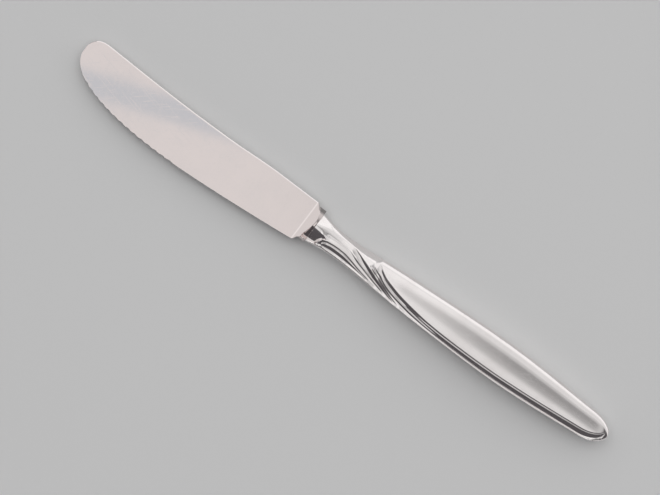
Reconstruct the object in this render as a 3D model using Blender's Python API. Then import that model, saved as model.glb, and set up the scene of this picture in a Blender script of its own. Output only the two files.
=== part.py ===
"""Dessert knife with a forged blade and a hollow handle of two brazed half shells.

Units are metres, +Z is up and the knife lies on its side. While it is being built the origin is the
centre of the handle's mouth: the blade runs towards -X, the handle towards +X, the spine is on the +Y
side, the cutting edge on the -Y side, and the blade's middle plane is z = 0. At the end the whole knife
is moved so that the origin is under the middle of its bounding box.
"""

import math

import bmesh
import bpy
import numpy as np

# Blade, measured from the handle's mouth
BLADE_LENGTH = 0.0917
BLADE_SPINE_Y = 0.0071
BLADE_HEEL_Y = -0.0072
BLADE_BELLY_Y = -0.0112
SPINE_DIP = 0.0011
SPINE_DIP_SHARES = ((0.0, 0.0), (0.20, 0.0), (0.42, 0.80), (0.60, 1.0), (1.0, 0.35))
TIP_Y = 0.0013
TIP_TOP_LENGTH = 0.0063
TIP_BELLY_LENGTH = 0.0378
TIP_ROUNDNESS = 2.4
EDGE_RISE_POWER = 1.4
HEEL_THICKNESS = 0.0023
TIP_THICKNESS = 0.0012
FACE_TAPER = 0.03
EDGE_THICKNESS = 0.0002
EDGE_BEVEL = 0.0002
EDGE_BEVEL_SHARE = 0.4
SPINE_CHAMFER = 0.0002
SPINE_CHAMFER_SHARE = 0.2

# Scalloped part of the cutting edge
SERRATION_PITCH = 0.00274
SERRATION_DEPTH = 0.00020
SERRATION_FROM_TIP = 0.0060
SERRATION_LENGTH = 0.0384

# Heel, bolster and tang, forged in one with the blade
HEEL_RAMP = 0.0013
RAMP_STOP = 0.0006
RAMP_STEP = 0.00004
HEEL_OVERLAP = 0.0008
HEEL_CORNER = 0.0012
HEEL_CORNER_POWER = 1.6
HEEL_ROOT_SHARE = 0.8
BOLSTER_LENGTH = 0.0025
BOLSTER_SPINE_STEP = 0.0013
BOLSTER_EDGE_STEP = 0.0004
BOLSTER_FACE_STEP = 0.0001
BOLSTER_EDGE_ROUND = 0.0002
BOLSTER_POWER = 2.6
COLLAR_FALL = 0.25
TANG_LENGTH = 0.0580
TANG_END_SHARE = 0.65
TANG_POWER = 3.0

# Handle outline and thickness
HANDLE_LENGTH = 0.1133
HANDLE_LEAN = 0.0034
HANDLE_DROP = 0.00015
MOUTH_WIDTH = 0.0102
MOUTH_THICKNESS = 0.0062
NECK_AT = 0.0100
NECK_WIDTH = 0.0080
NECK_THICKNESS = 0.0050
SHOULDER_AT = 0.0345
SHOULDER_WIDTH = 0.01084
SHOULDER_THICKNESS = 0.0066
BELLY_AT = 0.0710
BELLY_WIDTH = 0.0132
BELLY_THICKNESS = 0.0076
TAIL_WIDTH = 0.0085
TAIL_THICKNESS = 0.0054
TAIL_ROUND = 0.0080
TAIL_POWER = 2.2
TAIL_DOME = 0.0200
TAIL_DOME_POWER = 3.0
TAIL_BLUNT = 0.0003
NECK_POWER = 2.2
BODY_POWER = 2.8
POWER_TURN_START = 0.0300
POWER_TURN_END = 0.0600

# Half shells, brazed seam and filling
SHELL_WALL = 0.0009
SHELL_LAND = 0.00125
CAVITY_NECK_END = 0.0240
CAVITY_END = 0.0120
CAVITY_LEAST_SHARE = 0.25
FILLING_END = 0.0140
FILLING_WALL = 0.00045
SEAM_THICKNESS = 0.0002
JOINT_GAP = 0.00005
FIT_GAP = 0.0002

# Ornament of the handle: lines through stations of (mm along the handle, mm over the lower outline).
# A wall that leads down to a line falls by a share of its width.
MM = 0.001
DARK_FALL = 0.45
LEVEL = -0.05
LINE_GAP = 0.00003
LINES_SHARE = 0.4
SPINE_FADE = 0.0004

# Rim along the edge side of the handle
RIM = (
    (0, 1.15), (2.8, 0.9), (3.8, 1.05), (4.4, 1.35), (6.0, 1.3), (9.1, 1.05), (15.4, 1.0),
    (28.0, 0.95), (34.3, 0.85), (40.6, 0.7), (46.9, 0.5), (53.2, 0.36), (60, 0.28),
)
RIM_FALLS = ((0, -0.1), (20, -0.2), (35, -0.4), (60, -0.5))
RIM_WALL_START = 3.0
RIM_WALL_GROW = 3.0
RIM_WALL_END = 107.0
RIM_POWER = 4.0
RIM_LEAST_SHARE = 1 / 3

# Main lobe and the stepped border under it
LOBE_EDGE = (
    (23.6, 9.0), (24.0, 8.0), (24.9, 6.9), (25.7, 6.25), (26.5, 5.8), (28.0, 5.15), (31.2, 4.55),
    (34.3, 4.0), (40.6, 3.2), (46.9, 2.75), (53.2, 2.6), (60, 2.58),
)
RIDGE = (
    (21.6, 8.6), (21.9, 7.6), (22.4, 6.7), (23.3, 6.1), (24.6, 5.5), (25.5, 4.85), (26.5, 4.35), (28.0, 3.65),
    (31.2, 2.8), (34.3, 2.3), (40.6, 1.5), (46.9, 1.15), (53.2, 1.0), (60, 0.98),
)
RIDGE_FOOT = (
    (21.0, 7.4), (21.4, 6.3), (22.4, 5.4), (23.3, 5.0), (24.9, 4.6), (26.5, 3.8), (28.0, 3.05),
    (31.2, 2.2), (34.3, 1.7), (40.6, 1.1), (46.9, 0.85), (53.2, 0.73), (60, 0.66),
)
# Places of groove, bead and cove as shares of the way from the lobe's edge to the ridge
GROOVE_SHARES = ((23.6, 0.08), (24.9, 0.25), (28, 0.36), (40, 0.42), (43.8, 0.37), (50, 0.31), (66, 0.23))
BEAD_SHARES = ((23.6, 0.15), (24.9, 0.43), (28, 0.63), (40, 0.60), (43.8, 0.57), (50, 0.49), (66, 0.42))
COVE_SHARES = ((23.6, 0.50), (28, 0.80), (43.8, 0.78), (50, 0.74), (66, 0.76))
BEAD_RISE_START = 0.0360
BEAD_RISE_END = 0.0460
RIDGE_SINK_START = 0.0480
RIDGE_SINK_END = 0.0580
CREST_SINK_START = 0.0210
CREST_SINK_END = 0.0300
TAIL_BORDER = 0.0013
TAIL_LINES_TURN = 0.0020
TAIL_LINES_END = 0.70
TAIL_LINES_FADE = 0.35

# Thin ridge, middle petal and the first petal, which curls up from the rim of the neck
FAN_START = 21.2
THIN_RIDGE = (
    (20.8, 6.0), (21.7, 5.1), (22.7, 4.75), (23.6, 4.5), (24.9, 4.15), (26.5, 3.4), (28.0, 2.75),
    (31.2, 1.8), (34.3, 1.3),
)
THIN_GROOVE = (
    (20.8, 5.6), (21.7, 4.85), (22.7, 4.4), (23.6, 4.05), (24.9, 3.7), (26.5, 3.0), (28.0, 2.45),
    (31.2, 1.5), (33.0, 1.3),
)
PETAL = (
    (12.9, 7.1), (13.9, 6.6), (15.4, 6.25), (17.0, 5.9), (18.6, 5.5), (20.2, 5.05), (22.4, 4.4),
    (23.3, 4.0), (24.9, 3.5), (28.0, 2.35), (31.2, 1.45),
)
PETAL_GROOVE = (
    (13.5, 6.4), (15.4, 5.7), (18.6, 4.5), (20.2, 3.9), (21.7, 3.3), (24.9, 2.55), (28.0, 1.85),
    (31.2, 1.35),
)
PETAL_RIDGE = (
    (0, 6.4), (9.1, 5.2), (13.2, 5.4), (15.4, 4.6), (18.6, 3.4), (20.2, 3.05), (21.7, 2.65), (24.9, 2.1),
    (28.0, 1.65), (30.6, 1.2),
)
VALLEY = (
    (0, 5.5), (2.8, 5.1), (5.4, 4.6), (7.6, 4.6), (12.3, 4.5), (14.5, 3.95), (16.7, 3.3), (19.2, 2.75),
    (21.7, 2.3), (24.9, 1.85), (28.0, 1.35),
)
VALLEY_FALLS = ((0, 0.1), (5, 0.2), (12, 0.25), (18, 0.45), (28, 0.45))
CURL = (
    (3.6, 1.6), (4.1, 2.55), (4.7, 3.1), (5.4, 3.4), (6.6, 3.62), (9.1, 3.7), (12.3, 3.55),
    (15.4, 2.95), (18.6, 2.2), (21.7, 1.7), (24.9, 1.3),
)
CURL_GROOVE = (
    (4.3, 1.7), (5.4, 2.6), (6.6, 3.0), (9.1, 3.15), (12.3, 3.05), (15.4, 2.5), (18.6, 1.85), (21.7, 1.4),
)
CURL_BEAD = (
    (4.7, 1.5), (6.0, 2.25), (6.9, 2.6), (8.5, 2.8), (12.3, 2.65), (15.4, 2.2), (19.2, 1.55),
)
CURL_COVE = (
    (5.4, 1.4), (6.6, 1.4), (9.1, 1.36), (12.3, 1.32), (15.4, 1.27), (18.6, 1.2), (23.6, 1.1),
)

# Scoop in the neck before the first petal
SCOOP_FLOOR = 0.0011
SCOOP_SLOPE = 0.42
SCOOP_FLAT = 0.0020
SCOOP_RISE = 0.25
SCOOP_EDGE = 0.00025
SCOOP_WALL = 2.2
SCOOP_ROUND = 0.00025
CURL_RISE_END = 10

# Steep flat on the spine side of the neck, which ends in a wall before the lobes
BACK_SLOPES = ((0, 3.0), (5, 2.6), (9, 1.9), (14, 1.35), (18, 1.1), (24, 1.0))
BACK_WALL = 2.5
BACK_WALL_STATIONS = 4

# Fineness of the meshes
TEETH_STEPS = 8
TIP_STATIONS = 9
TIP_SHARE = 0.06
PLAIN_STATIONS = 7
HEEL_STATIONS = 5
LOBE_POINTS = 6
WIDE_BANDS = {7: 3, 9: 5, 11: 5}
FREE_CRESTS = (4, 6, 8)
FLANK_POINTS = 4
INNER_POINTS = 11
OVAL_POINTS = 20
PETALS_END = 0.0320
SWEEP_END = 0.0520
NECK_STEP = 0.0007
SWEEP_STEP = 0.0016
BODY_STEP = 0.0046
TAIL_STATIONS = 10
TAIL_TURN = 0.47
SHARP_ANGLE = 25

# Finishes: colour, roughness, metallic
STEEL = ("satin_steel", (0.62, 0.60, 0.59), 0.38, 1.0)
SILVER = ("silver_plate", (0.80, 0.77, 0.76), 0.22, 1.0)
SOLDER = ("silver_solder", (0.70, 0.68, 0.66), 0.30, 1.0)
CEMENT = ("handle_cement", (0.46, 0.41, 0.36), 0.85, 0.0)

# Worked out from the sizes above
SEAM_HALF = SEAM_THICKNESS / 2
SHELL_FACE = SEAM_HALF + JOINT_GAP
HEEL_CREASE = BOLSTER_LENGTH + HEEL_RAMP
HEEL_END = BOLSTER_LENGTH - HEEL_OVERLAP / 2
BOLSTER_WIDTH = MOUTH_WIDTH + BOLSTER_SPINE_STEP + BOLSTER_EDGE_STEP
BOLSTER_THICKNESS = MOUTH_THICKNESS + 2 * BOLSTER_FACE_STEP
BOLSTER_Y = (BOLSTER_SPINE_STEP - BOLSTER_EDGE_STEP) / 2
TANG_WIDTH = NECK_WIDTH - 2 * (SHELL_LAND + FILLING_WALL + 2 * FIT_GAP)
TANG_THICKNESS = NECK_THICKNESS - 2 * (SHELL_WALL + FILLING_WALL + 2 * FIT_GAP)


# Scene and helpers


def clear_scene():
    for old in list(bpy.data.objects):
        bpy.data.objects.remove(old, do_unlink=True)


def new_collection(name):
    made = bpy.data.collections.new(name)
    bpy.context.scene.collection.children.link(made)
    return made


def finish_material(finish):
    name, colour, roughness, metallic = finish
    material = bpy.data.materials.new(name)
    material.use_nodes = True
    shader = material.node_tree.nodes["Principled BSDF"]
    shader.inputs["Base Color"].default_value = (*colour, 1.0)
    shader.inputs["Roughness"].default_value = roughness
    shader.inputs["Metallic"].default_value = metallic
    return material


def loft(name, rings, collection, material=None):
    """A closed solid through rings with as many points each, capped at both ends."""
    mesh = bmesh.new()
    loops = [[mesh.verts.new(point) for point in ring] for ring in rings]
    for one, two in zip(loops, loops[1:]):
        for i, corner in enumerate(one):
            after = (i + 1) % len(one)
            mesh.faces.new((corner, one[after], two[after], two[i]))
    mesh.faces.new(loops[0][::-1])
    mesh.faces.new(loops[-1])
    bmesh.ops.recalc_face_normals(mesh, faces=mesh.faces)
    data = bpy.data.meshes.new(name)
    mesh.to_mesh(data)
    mesh.free()
    data.shade_smooth()
    data.set_sharp_from_angle(angle=math.radians(SHARP_ANGLE))
    made = bpy.data.objects.new(name, data)
    collection.objects.link(made)
    if material:
        data.materials.append(material)
    return made


def combine(target, other, operation):
    """Adds or cuts another solid, which stays in the scene as a hidden helper."""
    other.hide_render = True
    other.display_type = "WIRE"
    step = target.modifiers.new(other.name, "BOOLEAN")
    step.operation = operation
    step.object = other


def ease(value):
    """0 to 1 with a level start and end."""
    share = np.clip(value, 0.0, 1.0)
    return share * share * (3 - 2 * share)


def curve_through(stations, at):
    """A smooth curve through (place, value) stations that never overshoots them."""
    x, y = np.array(stations, float).T
    rise = np.diff(y) / np.diff(x)
    slope = np.concatenate([rise[:1], np.zeros(len(x) - 2), rise[-1:]])
    for i in range(1, len(x) - 1):
        if rise[i - 1] * rise[i] > 0:
            slope[i] = 2 / (1 / rise[i - 1] + 1 / rise[i])
    i = np.clip(np.searchsorted(x, at) - 1, 0, len(x) - 2)
    span = x[i + 1] - x[i]
    t = np.clip((at - x[i]) / span, 0, 1)
    start = y[i] * (1 + 2 * t) + slope[i] * span * t
    end = y[i + 1] * (3 - 2 * t) - slope[i + 1] * span * (1 - t)
    return start * (1 - t) ** 2 + end * t**2


def superellipse(share, power):
    """Height of a unit superellipse at a share of its half width."""
    inside = np.clip(np.abs(share), 0.0, 1.0)
    return (1 - inside**power) ** (1 / power)


def between(start, end, share):
    return start + (end - start) * share


def oval_ring(x, centre_y, half_width, half_height, power):
    """A closed superellipse ring in the plane at x."""
    ring = []
    for i in range(OVAL_POINTS):
        angle = 2 * math.pi * i / OVAL_POINTS
        c, s = math.cos(angle), math.sin(angle)
        y = math.copysign(abs(c) ** (2 / power), c)
        z = math.copysign(abs(s) ** (2 / power), s)
        ring.append((x, centre_y + half_width * y, half_height * z))
    return ring


# Blade


def spine_y(x):
    """Spine: level at the heel, slightly hollow along the middle, round at the tip."""
    dip = curve_through(SPINE_DIP_SHARES, -x / BLADE_LENGTH) * SPINE_DIP
    line = BLADE_SPINE_Y - dip
    inside = (TIP_TOP_LENGTH - BLADE_LENGTH - x) / TIP_TOP_LENGTH
    corner = heel_corner(x)
    return TIP_Y + (line - TIP_Y) * superellipse(max(0, inside), TIP_ROUNDNESS) - corner


def heel_corner(x):
    """How far the heel's round corners draw in from spine and edge."""
    return HEEL_CORNER * (max(0, x + HEEL_CREASE) / HEEL_RAMP) ** HEEL_CORNER_POWER


def plain_edge_y(x):
    """Cutting edge without its scallops."""
    belly_x = TIP_BELLY_LENGTH - BLADE_LENGTH
    if x < belly_x:
        inside = (belly_x - x) / TIP_BELLY_LENGTH
        return TIP_Y + (BLADE_BELLY_Y - TIP_Y) * superellipse(inside, TIP_ROUNDNESS)
    share = np.clip((x - belly_x) / (-HEEL_CREASE - belly_x), 0, 1)
    rise = (BLADE_HEEL_Y - BLADE_BELLY_Y) * share**EDGE_RISE_POWER
    return BLADE_BELLY_Y + rise + heel_corner(x)


def edge_y(x):
    along = x + BLADE_LENGTH - SERRATION_FROM_TIP
    if 0 < along < tooth_count() * SERRATION_PITCH:
        return plain_edge_y(x) + SERRATION_DEPTH * abs(math.sin(math.pi * along / SERRATION_PITCH))
    return plain_edge_y(x)


def tooth_count():
    return round(SERRATION_LENGTH / SERRATION_PITCH)


def face_z(x, y):
    """Half thickness of the blade: a flat face that thins to tip and edge, then a ramp at the heel."""
    to_tip = (HEEL_THICKNESS - TIP_THICKNESS) / 2 / (BLADE_LENGTH - HEEL_CREASE)
    flat = HEEL_THICKNESS / 2 + to_tip * min(0, x + HEEL_CREASE) - FACE_TAPER * (BLADE_SPINE_Y - y)
    return flat + ramp_z(x)


def ramp_z(x):
    """Rise of the heel's ramp, which meets the bolster's face just before the handle's mouth."""
    middle = HEEL_THICKNESS / 2 - FACE_TAPER * BLADE_SPINE_Y
    slope = (BOLSTER_THICKNESS / 2 + COLLAR_FALL * RAMP_STOP - middle) / (HEEL_CREASE - RAMP_STOP)
    return slope * max(0, x + HEEL_CREASE)


def blade_stations():
    """Places of the sections: close at the round tip and over the scallops, few elsewhere."""
    first_tooth = SERRATION_FROM_TIP - BLADE_LENGTH
    teeth_end = first_tooth + tooth_count() * SERRATION_PITCH
    turns = np.linspace(TIP_SHARE, 0.5, TIP_STATIONS, endpoint=False)
    tip = [-BLADE_LENGTH + SERRATION_FROM_TIP * (1 - math.cos(math.pi * t)) for t in turns]
    teeth = np.linspace(first_tooth, teeth_end, TEETH_STEPS * tooth_count() + 1)
    plain = np.linspace(teeth_end, -HEEL_CREASE, PLAIN_STATIONS)[1:]
    heel = np.linspace(-HEEL_CREASE, -HEEL_END, HEEL_STATIONS)[1:]
    return [*tip, *teeth, *plain, *heel]


def blade_ring(x):
    """Section of the blade: spine, flat face, edge bevel and edge, on both sides."""
    top, low = spine_y(x), edge_y(x)
    height = top - low
    chamfer = min(SPINE_CHAMFER, SPINE_CHAMFER_SHARE * height)
    bevel = low + min(EDGE_BEVEL, EDGE_BEVEL_SHARE * height)
    front = [
        (top, face_z(x, top) - chamfer),
        (top - chamfer, face_z(x, top - chamfer)),
        (bevel, face_z(x, bevel)),
        (low, EDGE_THICKNESS / 2 + ramp_z(x)),
    ]
    return [(x, y, z) for y, z in front] + [(x, y, -z) for y, z in front[::-1]]


def heel_root():
    """Last section of the heel, sunk into the bolster."""
    end = HEEL_OVERLAP - BOLSTER_LENGTH
    return [(end, y * HEEL_ROOT_SHARE, z * HEEL_ROOT_SHARE) for _, y, z in blade_ring(-HEEL_END)]


def bolster_rings():
    """Oval block that closes the handle's mouth and falls a little towards it."""
    rings = []
    for x, inset in ((-BOLSTER_LENGTH, 0), (-BOLSTER_EDGE_ROUND, 0), (0, BOLSTER_EDGE_ROUND)):
        high = BOLSTER_THICKNESS / 2 - COLLAR_FALL * x - inset
        rings.append(oval_ring(x, BOLSTER_Y, BOLSTER_WIDTH / 2 - inset, high, BOLSTER_POWER))
    return rings


def ramp_rings():
    """The space between the two ramps of the heel, which trims the front of the bolster."""
    rings = []
    for y in (-BOLSTER_WIDTH, BOLSTER_WIDTH):
        front = [(x, y, face_z(x, y) - RAMP_STEP) for x in (-HEEL_CREASE, BOLSTER_LENGTH)]
        rings.append(front + [(x, y, -z) for x, y, z in front[::-1]])
    return rings


def tang_rings(start, gap):
    """Tapered bar along the handle's axis, grown by a gap on every side."""
    rings = []
    for x in (start, NECK_AT, TANG_LENGTH + gap):
        left = 1 - (1 - TANG_END_SHARE) * max(0, x - NECK_AT) / (TANG_LENGTH - NECK_AT)
        wide = left * TANG_WIDTH / 2 + gap
        high = left * TANG_THICKNESS / 2 + gap
        rings.append(oval_ring(x, axis_y(x), wide, high, TANG_POWER))
    return rings


def make_blade(parts, tools, steel):
    sections = [blade_ring(x) for x in blade_stations()]
    blade = loft("blade", [*sections, heel_root()], parts, steel)
    bolster = loft("bolster_block", bolster_rings(), tools)
    ramps = loft("heel_ramps", ramp_rings(), tools)
    tang = loft("tang_bar", tang_rings(-BOLSTER_LENGTH / 2, 0), tools)
    combine(bolster, ramps, "INTERSECT")
    combine(blade, bolster, "UNION")
    combine(blade, tang, "UNION")
    return [blade, bolster, ramps, tang]


# Handle form


def axis_y(x):
    """The handle's axis leans towards the spine side."""
    return HANDLE_LEAN * x / HANDLE_LENGTH - HANDLE_DROP * ease(x / NECK_AT)


def tail_round(x, end):
    """1 along the handle, falling to 0 at the end of its tail."""
    share = np.clip(1 - (end - x) / TAIL_ROUND, 0, 1)
    return np.sqrt(1 - share**TAIL_POWER)


def section_power(x):
    """A plain oval at the neck, a fuller one along the body."""
    turned = ease((x - POWER_TURN_START) / (POWER_TURN_END - POWER_TURN_START))
    return between(NECK_POWER, BODY_POWER, turned)


def taper(x, mouth, neck, shoulder, belly, tail):
    """Half of a width or thickness, before the tail is rounded off."""
    stations = [(0, mouth), (NECK_AT, neck), (SHOULDER_AT, shoulder), (BELLY_AT, belly)]
    return curve_through([*stations, (HANDLE_LENGTH, tail)], x) / 2


def taper_width(x):
    return taper(x, MOUTH_WIDTH, NECK_WIDTH, SHOULDER_WIDTH, BELLY_WIDTH, TAIL_WIDTH)


def half_width(x):
    return taper_width(x) * tail_round(x, HANDLE_LENGTH)


def half_height(x):
    high = taper(
        x, MOUTH_THICKNESS, NECK_THICKNESS, SHOULDER_THICKNESS, BELLY_THICKNESS, TAIL_THICKNESS
    )
    share = np.clip(1 - (HANDLE_LENGTH + TAIL_BLUNT - x) / TAIL_DOME, 0, 1)
    return high * np.sqrt(1 - share**TAIL_DOME_POWER)


def plain_z(x, places):
    """Height of the plain oval at places across the handle, counted from the spine's outline."""
    wide = half_width(x)
    return half_height(x) * superellipse((places - wide) / wide, section_power(x))


def handle_stations():
    """Places of the sections: close over the petals and at the tail, wide along the plain body."""
    tail_start = HANDLE_LENGTH - TAIL_ROUND
    petals = np.linspace(JOINT_GAP, PETALS_END, 1 + round(PETALS_END / NECK_STEP))
    sweep = np.linspace(PETALS_END, SWEEP_END, 1 + round((SWEEP_END - PETALS_END) / SWEEP_STEP))
    body = np.linspace(SWEEP_END, tail_start, 1 + round((tail_start - SWEEP_END) / BODY_STEP))
    tail = tail_start + TAIL_ROUND * np.sin(math.pi * np.linspace(0, TAIL_TURN, TAIL_STATIONS))
    along = np.arange(SWEEP_END, tail_start, NECK_STEP)
    topmost = along[np.argmax(axis_y(along) + half_width(along))]
    single = [BELLY_AT, topmost, HANDLE_LENGTH - FILLING_END]
    return np.unique(np.concatenate([petals, sweep, body, tail, single]))


# Ornament of the handle


def rim_height(x):
    height = curve_through([(along * MM, up * MM) for along, up in RIM], x)
    return np.minimum(height, half_width(x) * RIM_LEAST_SHARE)


def drawn(x, stations, fall, start=None, grow=0.6, fade=0.0, from_rim=False, rise=0.0):
    """Height over the lower outline, fall of the wall above, and how far that wall shows (0 to 1)."""
    first, last = stations[0][0] * MM, stations[-1][0] * MM
    height = curve_through([(along * MM, up * MM) for along, up in stations], x) + rise
    before = rim_height(x) if from_rim else 2 * half_width(x)
    height = np.where(x < first, before, height)
    shown = ease((x - (first if start is None else start * MM)) / (grow * MM))
    if fade:
        height = np.where(x > last, rim_height(x), height)
        shown = shown * ease((last - x) / (fade * MM))
    return height, fall, shown


def border_lines(x):
    """Edge of the main lobe, then a groove, a bead, a cove, a ridge and the cove's foot."""
    rise = half_width(x) - taper_width(x) * tail_round(x, HANDLE_LENGTH - TAIL_BORDER)
    edge, _, edge_shown = drawn(x, LOBE_EDGE, 0, rise=rise)
    ridge = drawn(x, RIDGE, 0, rise=rise)[0]
    foot, _, foot_shown = drawn(x, RIDGE_FOOT, 0, start=RIDGE[0][0], grow=1.5, rise=rise)
    bead_up = ease((x - BEAD_RISE_START) / (BEAD_RISE_END - BEAD_RISE_START))
    ridge_down = ease((x - RIDGE_SINK_START) / (RIDGE_SINK_END - RIDGE_SINK_START))
    groove, bead, cove = [
        edge + curve_through(shares, x / MM) * (ridge - edge)
        for shares in (GROOVE_SHARES, BEAD_SHARES, COVE_SHARES)
    ]
    return [
        (edge, 0, 0 * x),
        (groove, DARK_FALL, edge_shown),
        (bead, between(DARK_FALL, LEVEL, bead_up), edge_shown),
        (cove, between(LEVEL, DARK_FALL, bead_up), edge_shown),
        (ridge, between(LEVEL, DARK_FALL, ridge_down), edge_shown),
        (foot, between(DARK_FALL, LEVEL, ridge_down), foot_shown),
    ]


def petal_lines(x):
    """Thin ridge and groove, middle petal, valley, first petal and rim, from the lobe down."""
    rim_shown = ease((x / MM - RIM_WALL_START) / RIM_WALL_GROW)
    rim_shown = rim_shown * ease(1 + (RIM_WALL_END - x / MM) / RIM_WALL_GROW)
    return [
        drawn(x, THIN_RIDGE, LEVEL, start=FAN_START, grow=1.5, fade=3.0),
        drawn(x, THIN_GROOVE, DARK_FALL, start=FAN_START, grow=1.5, fade=3.0),
        drawn(x, PETAL, LEVEL, start=FAN_START, grow=1.5, fade=3.0),
        drawn(x, PETAL_GROOVE, DARK_FALL, grow=3.0, fade=4.0),
        drawn(x, PETAL_RIDGE, LEVEL, start=PETAL_GROOVE[0][0], grow=3.0, fade=3.0),
        drawn(x, VALLEY, curve_through(VALLEY_FALLS, x / MM), start=4.0, grow=2.0, fade=3.0),
        drawn(x, CURL, LEVEL, grow=0.5, fade=3.0, from_rim=True),
        drawn(x, CURL_GROOVE, DARK_FALL, grow=1.0, fade=3.0, from_rim=True),
        drawn(x, CURL_BEAD, LEVEL, grow=1.0, fade=3.0, from_rim=True),
        drawn(x, CURL_COVE, DARK_FALL, grow=1.2, fade=4.0, from_rim=True),
        (rim_height(x), curve_through(RIM_FALLS, x / MM), rim_shown),
    ]


def soft_lower(a, b, radius):
    """The lower of two heights, with a round change from one to the other."""
    near = np.maximum(radius - np.abs(a - b), 0) / radius
    return np.minimum(a, b) - near * near * radius / 4


def scoop_z(x, up):
    """Height of the scoop over the seam's plane at a height over the lower outline."""
    rise = [station for station in CURL if station[0] < CURL_RISE_END]
    curl_x = np.interp(up / MM, [up for _, up in rise], [along for along, _ in rise]) * MM
    past_curl = np.maximum(0, x - curl_x + SCOOP_EDGE)
    past_rim = np.maximum(0, rim_height(x) + SCOOP_EDGE - up)
    plane = SCOOP_FLOOR + SCOOP_SLOPE * (up - rim_height(x)) + SCOOP_RISE * np.maximum(0, x - SCOOP_FLAT)
    return plane + SCOOP_WALL * (past_curl + past_rim)


def back_z(x, up):
    """Height of the neck's back over the seam's plane at a height over the lower outline."""
    start = RIDGE_FOOT[:BACK_WALL_STATIONS][::-1]
    wall_x = np.interp(up / MM, [up for _, up in start], [along for along, _ in start]) * MM
    from_outline = np.maximum(0, 2 * half_width(x) - up)
    steep = curve_through(BACK_SLOPES, x / MM) * from_outline
    return SHELL_FACE + steep + BACK_WALL * np.maximum(0, x - wall_x)


def relief(x):
    """Places across the handle and depths under the plain oval, as arrays of (point, station)."""
    width = 2 * half_width(x)
    lines = border_lines(x) + petal_lines(x)
    points_before = LOBE_POINTS + np.cumsum([WIDE_BANDS.get(i - 1, 1) for i in range(len(lines))])[:, None]
    gap = np.minimum(LINE_GAP, width * LINES_SHARE / points_before[-1])
    least = gap * points_before
    places = np.array([np.maximum(width - height, 0) for height, _, _ in lines])
    places = np.maximum.accumulate(places - least, axis=0) + least
    places = np.minimum(places, width - gap * FLANK_POINTS - least[-1] + least)
    depths = line_depths(x, lines, places)
    turns = np.linspace(0, math.pi, LOBE_POINTS, endpoint=False)
    all_places = [places[0] * (1 - math.cos(turn)) / 2 for turn in turns]
    all_depths = [0 * x for _ in turns]
    for i in range(len(lines) - 1):
        for t in np.linspace(0, 1, WIDE_BANDS.get(i, 1), endpoint=False):
            all_places.append(between(places[i], places[i + 1], t))
            all_depths.append(between(depths[i], depths[i + 1], t))
    for turn in np.linspace(0, math.pi / 2, FLANK_POINTS):
        all_places.append(between(places[-1], width, math.sin(turn)))
        all_depths.append(depths[-1])
    return np.array(all_places), np.array(all_depths)


def line_depths(x, lines, places):
    """Depths of the lines, from the falls of the walls between them."""
    oval = plain_z(x, places)
    settled = ease((x - CREST_SINK_START) / (CREST_SINK_END - CREST_SINK_START))
    tail = ease((x - HANDLE_LENGTH + TAIL_ROUND) / TAIL_LINES_TURN)
    spine_side = 1 - ease((places / half_width(x) - TAIL_LINES_END) / TAIL_LINES_FADE)
    depths = [0 * x]
    for i, (_, fall, shown) in enumerate(lines[1:], 1):
        extra = fall * (places[i] - places[i - 1]) - (oval[i - 1] - oval[i])
        depth = depths[-1] + extra * shown * (1 - tail * spine_side[i])
        depths.append(depth * settled if i in FREE_CRESTS else depth)
    return np.array(depths) * ease(places / SPINE_FADE) * tail_round(x, HANDLE_LENGTH)


def shell_surface(x):
    """Places across the handle and heights of the outside, with the neck's scoop and back cut in."""
    places, depths = relief(x)
    z = plain_z(x, places) - depths
    flank = np.linspace(0, math.pi / 2, FLANK_POINTS)[:, None]
    z[-FLANK_POINTS:] = z[-FLANK_POINTS] * superellipse(np.sin(flank), RIM_POWER)
    up = 2 * half_width(x) - places
    z = soft_lower(z, scoop_z(x, up), SCOOP_ROUND)
    z = soft_lower(z, back_z(x, up), SCOOP_ROUND)
    return places, np.maximum(z, SHELL_FACE)


def shell_rings(side):
    """Sections of one half shell: the relief outside, a plain oval hollow inside."""
    x = handle_stations()
    places, z = shell_surface(x)
    inner_wide, inner_high = cavity_size(x)
    turns = np.linspace(0, math.pi, INNER_POINTS)[:, None]
    inner_z = np.maximum(SHELL_FACE, inner_high * np.sin(turns))
    y = axis_y(x) + np.concatenate([half_width(x) - places, -inner_wide * np.cos(turns)])
    z = side * np.concatenate([z, inner_z])
    points = np.stack([np.broadcast_to(x, y.shape), y, z], axis=2)
    return points.transpose(1, 0, 2).tolist()


def cavity_size(x):
    """Half width and half height of the hollow: straight under the petals, closed before the tail."""
    open_share = tail_round(x, HANDLE_LENGTH - CAVITY_END)
    grown = ease((x - CAVITY_NECK_END) / (SHOULDER_AT - CAVITY_NECK_END))
    wide = (between(half_width(NECK_AT), half_width(x), grown) - SHELL_LAND) * open_share
    high = (between(half_height(NECK_AT), half_height(x), grown) - SHELL_WALL) * open_share
    return np.maximum(wide, half_width(x) * CAVITY_LEAST_SHARE), np.maximum(high, 0)


# Handle pieces


def make_shells(parts, silver):
    sides = (("front_handle_shell", 1), ("back_handle_shell", -1))
    return [loft(name, shell_rings(side), parts, silver) for name, side in sides]


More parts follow.
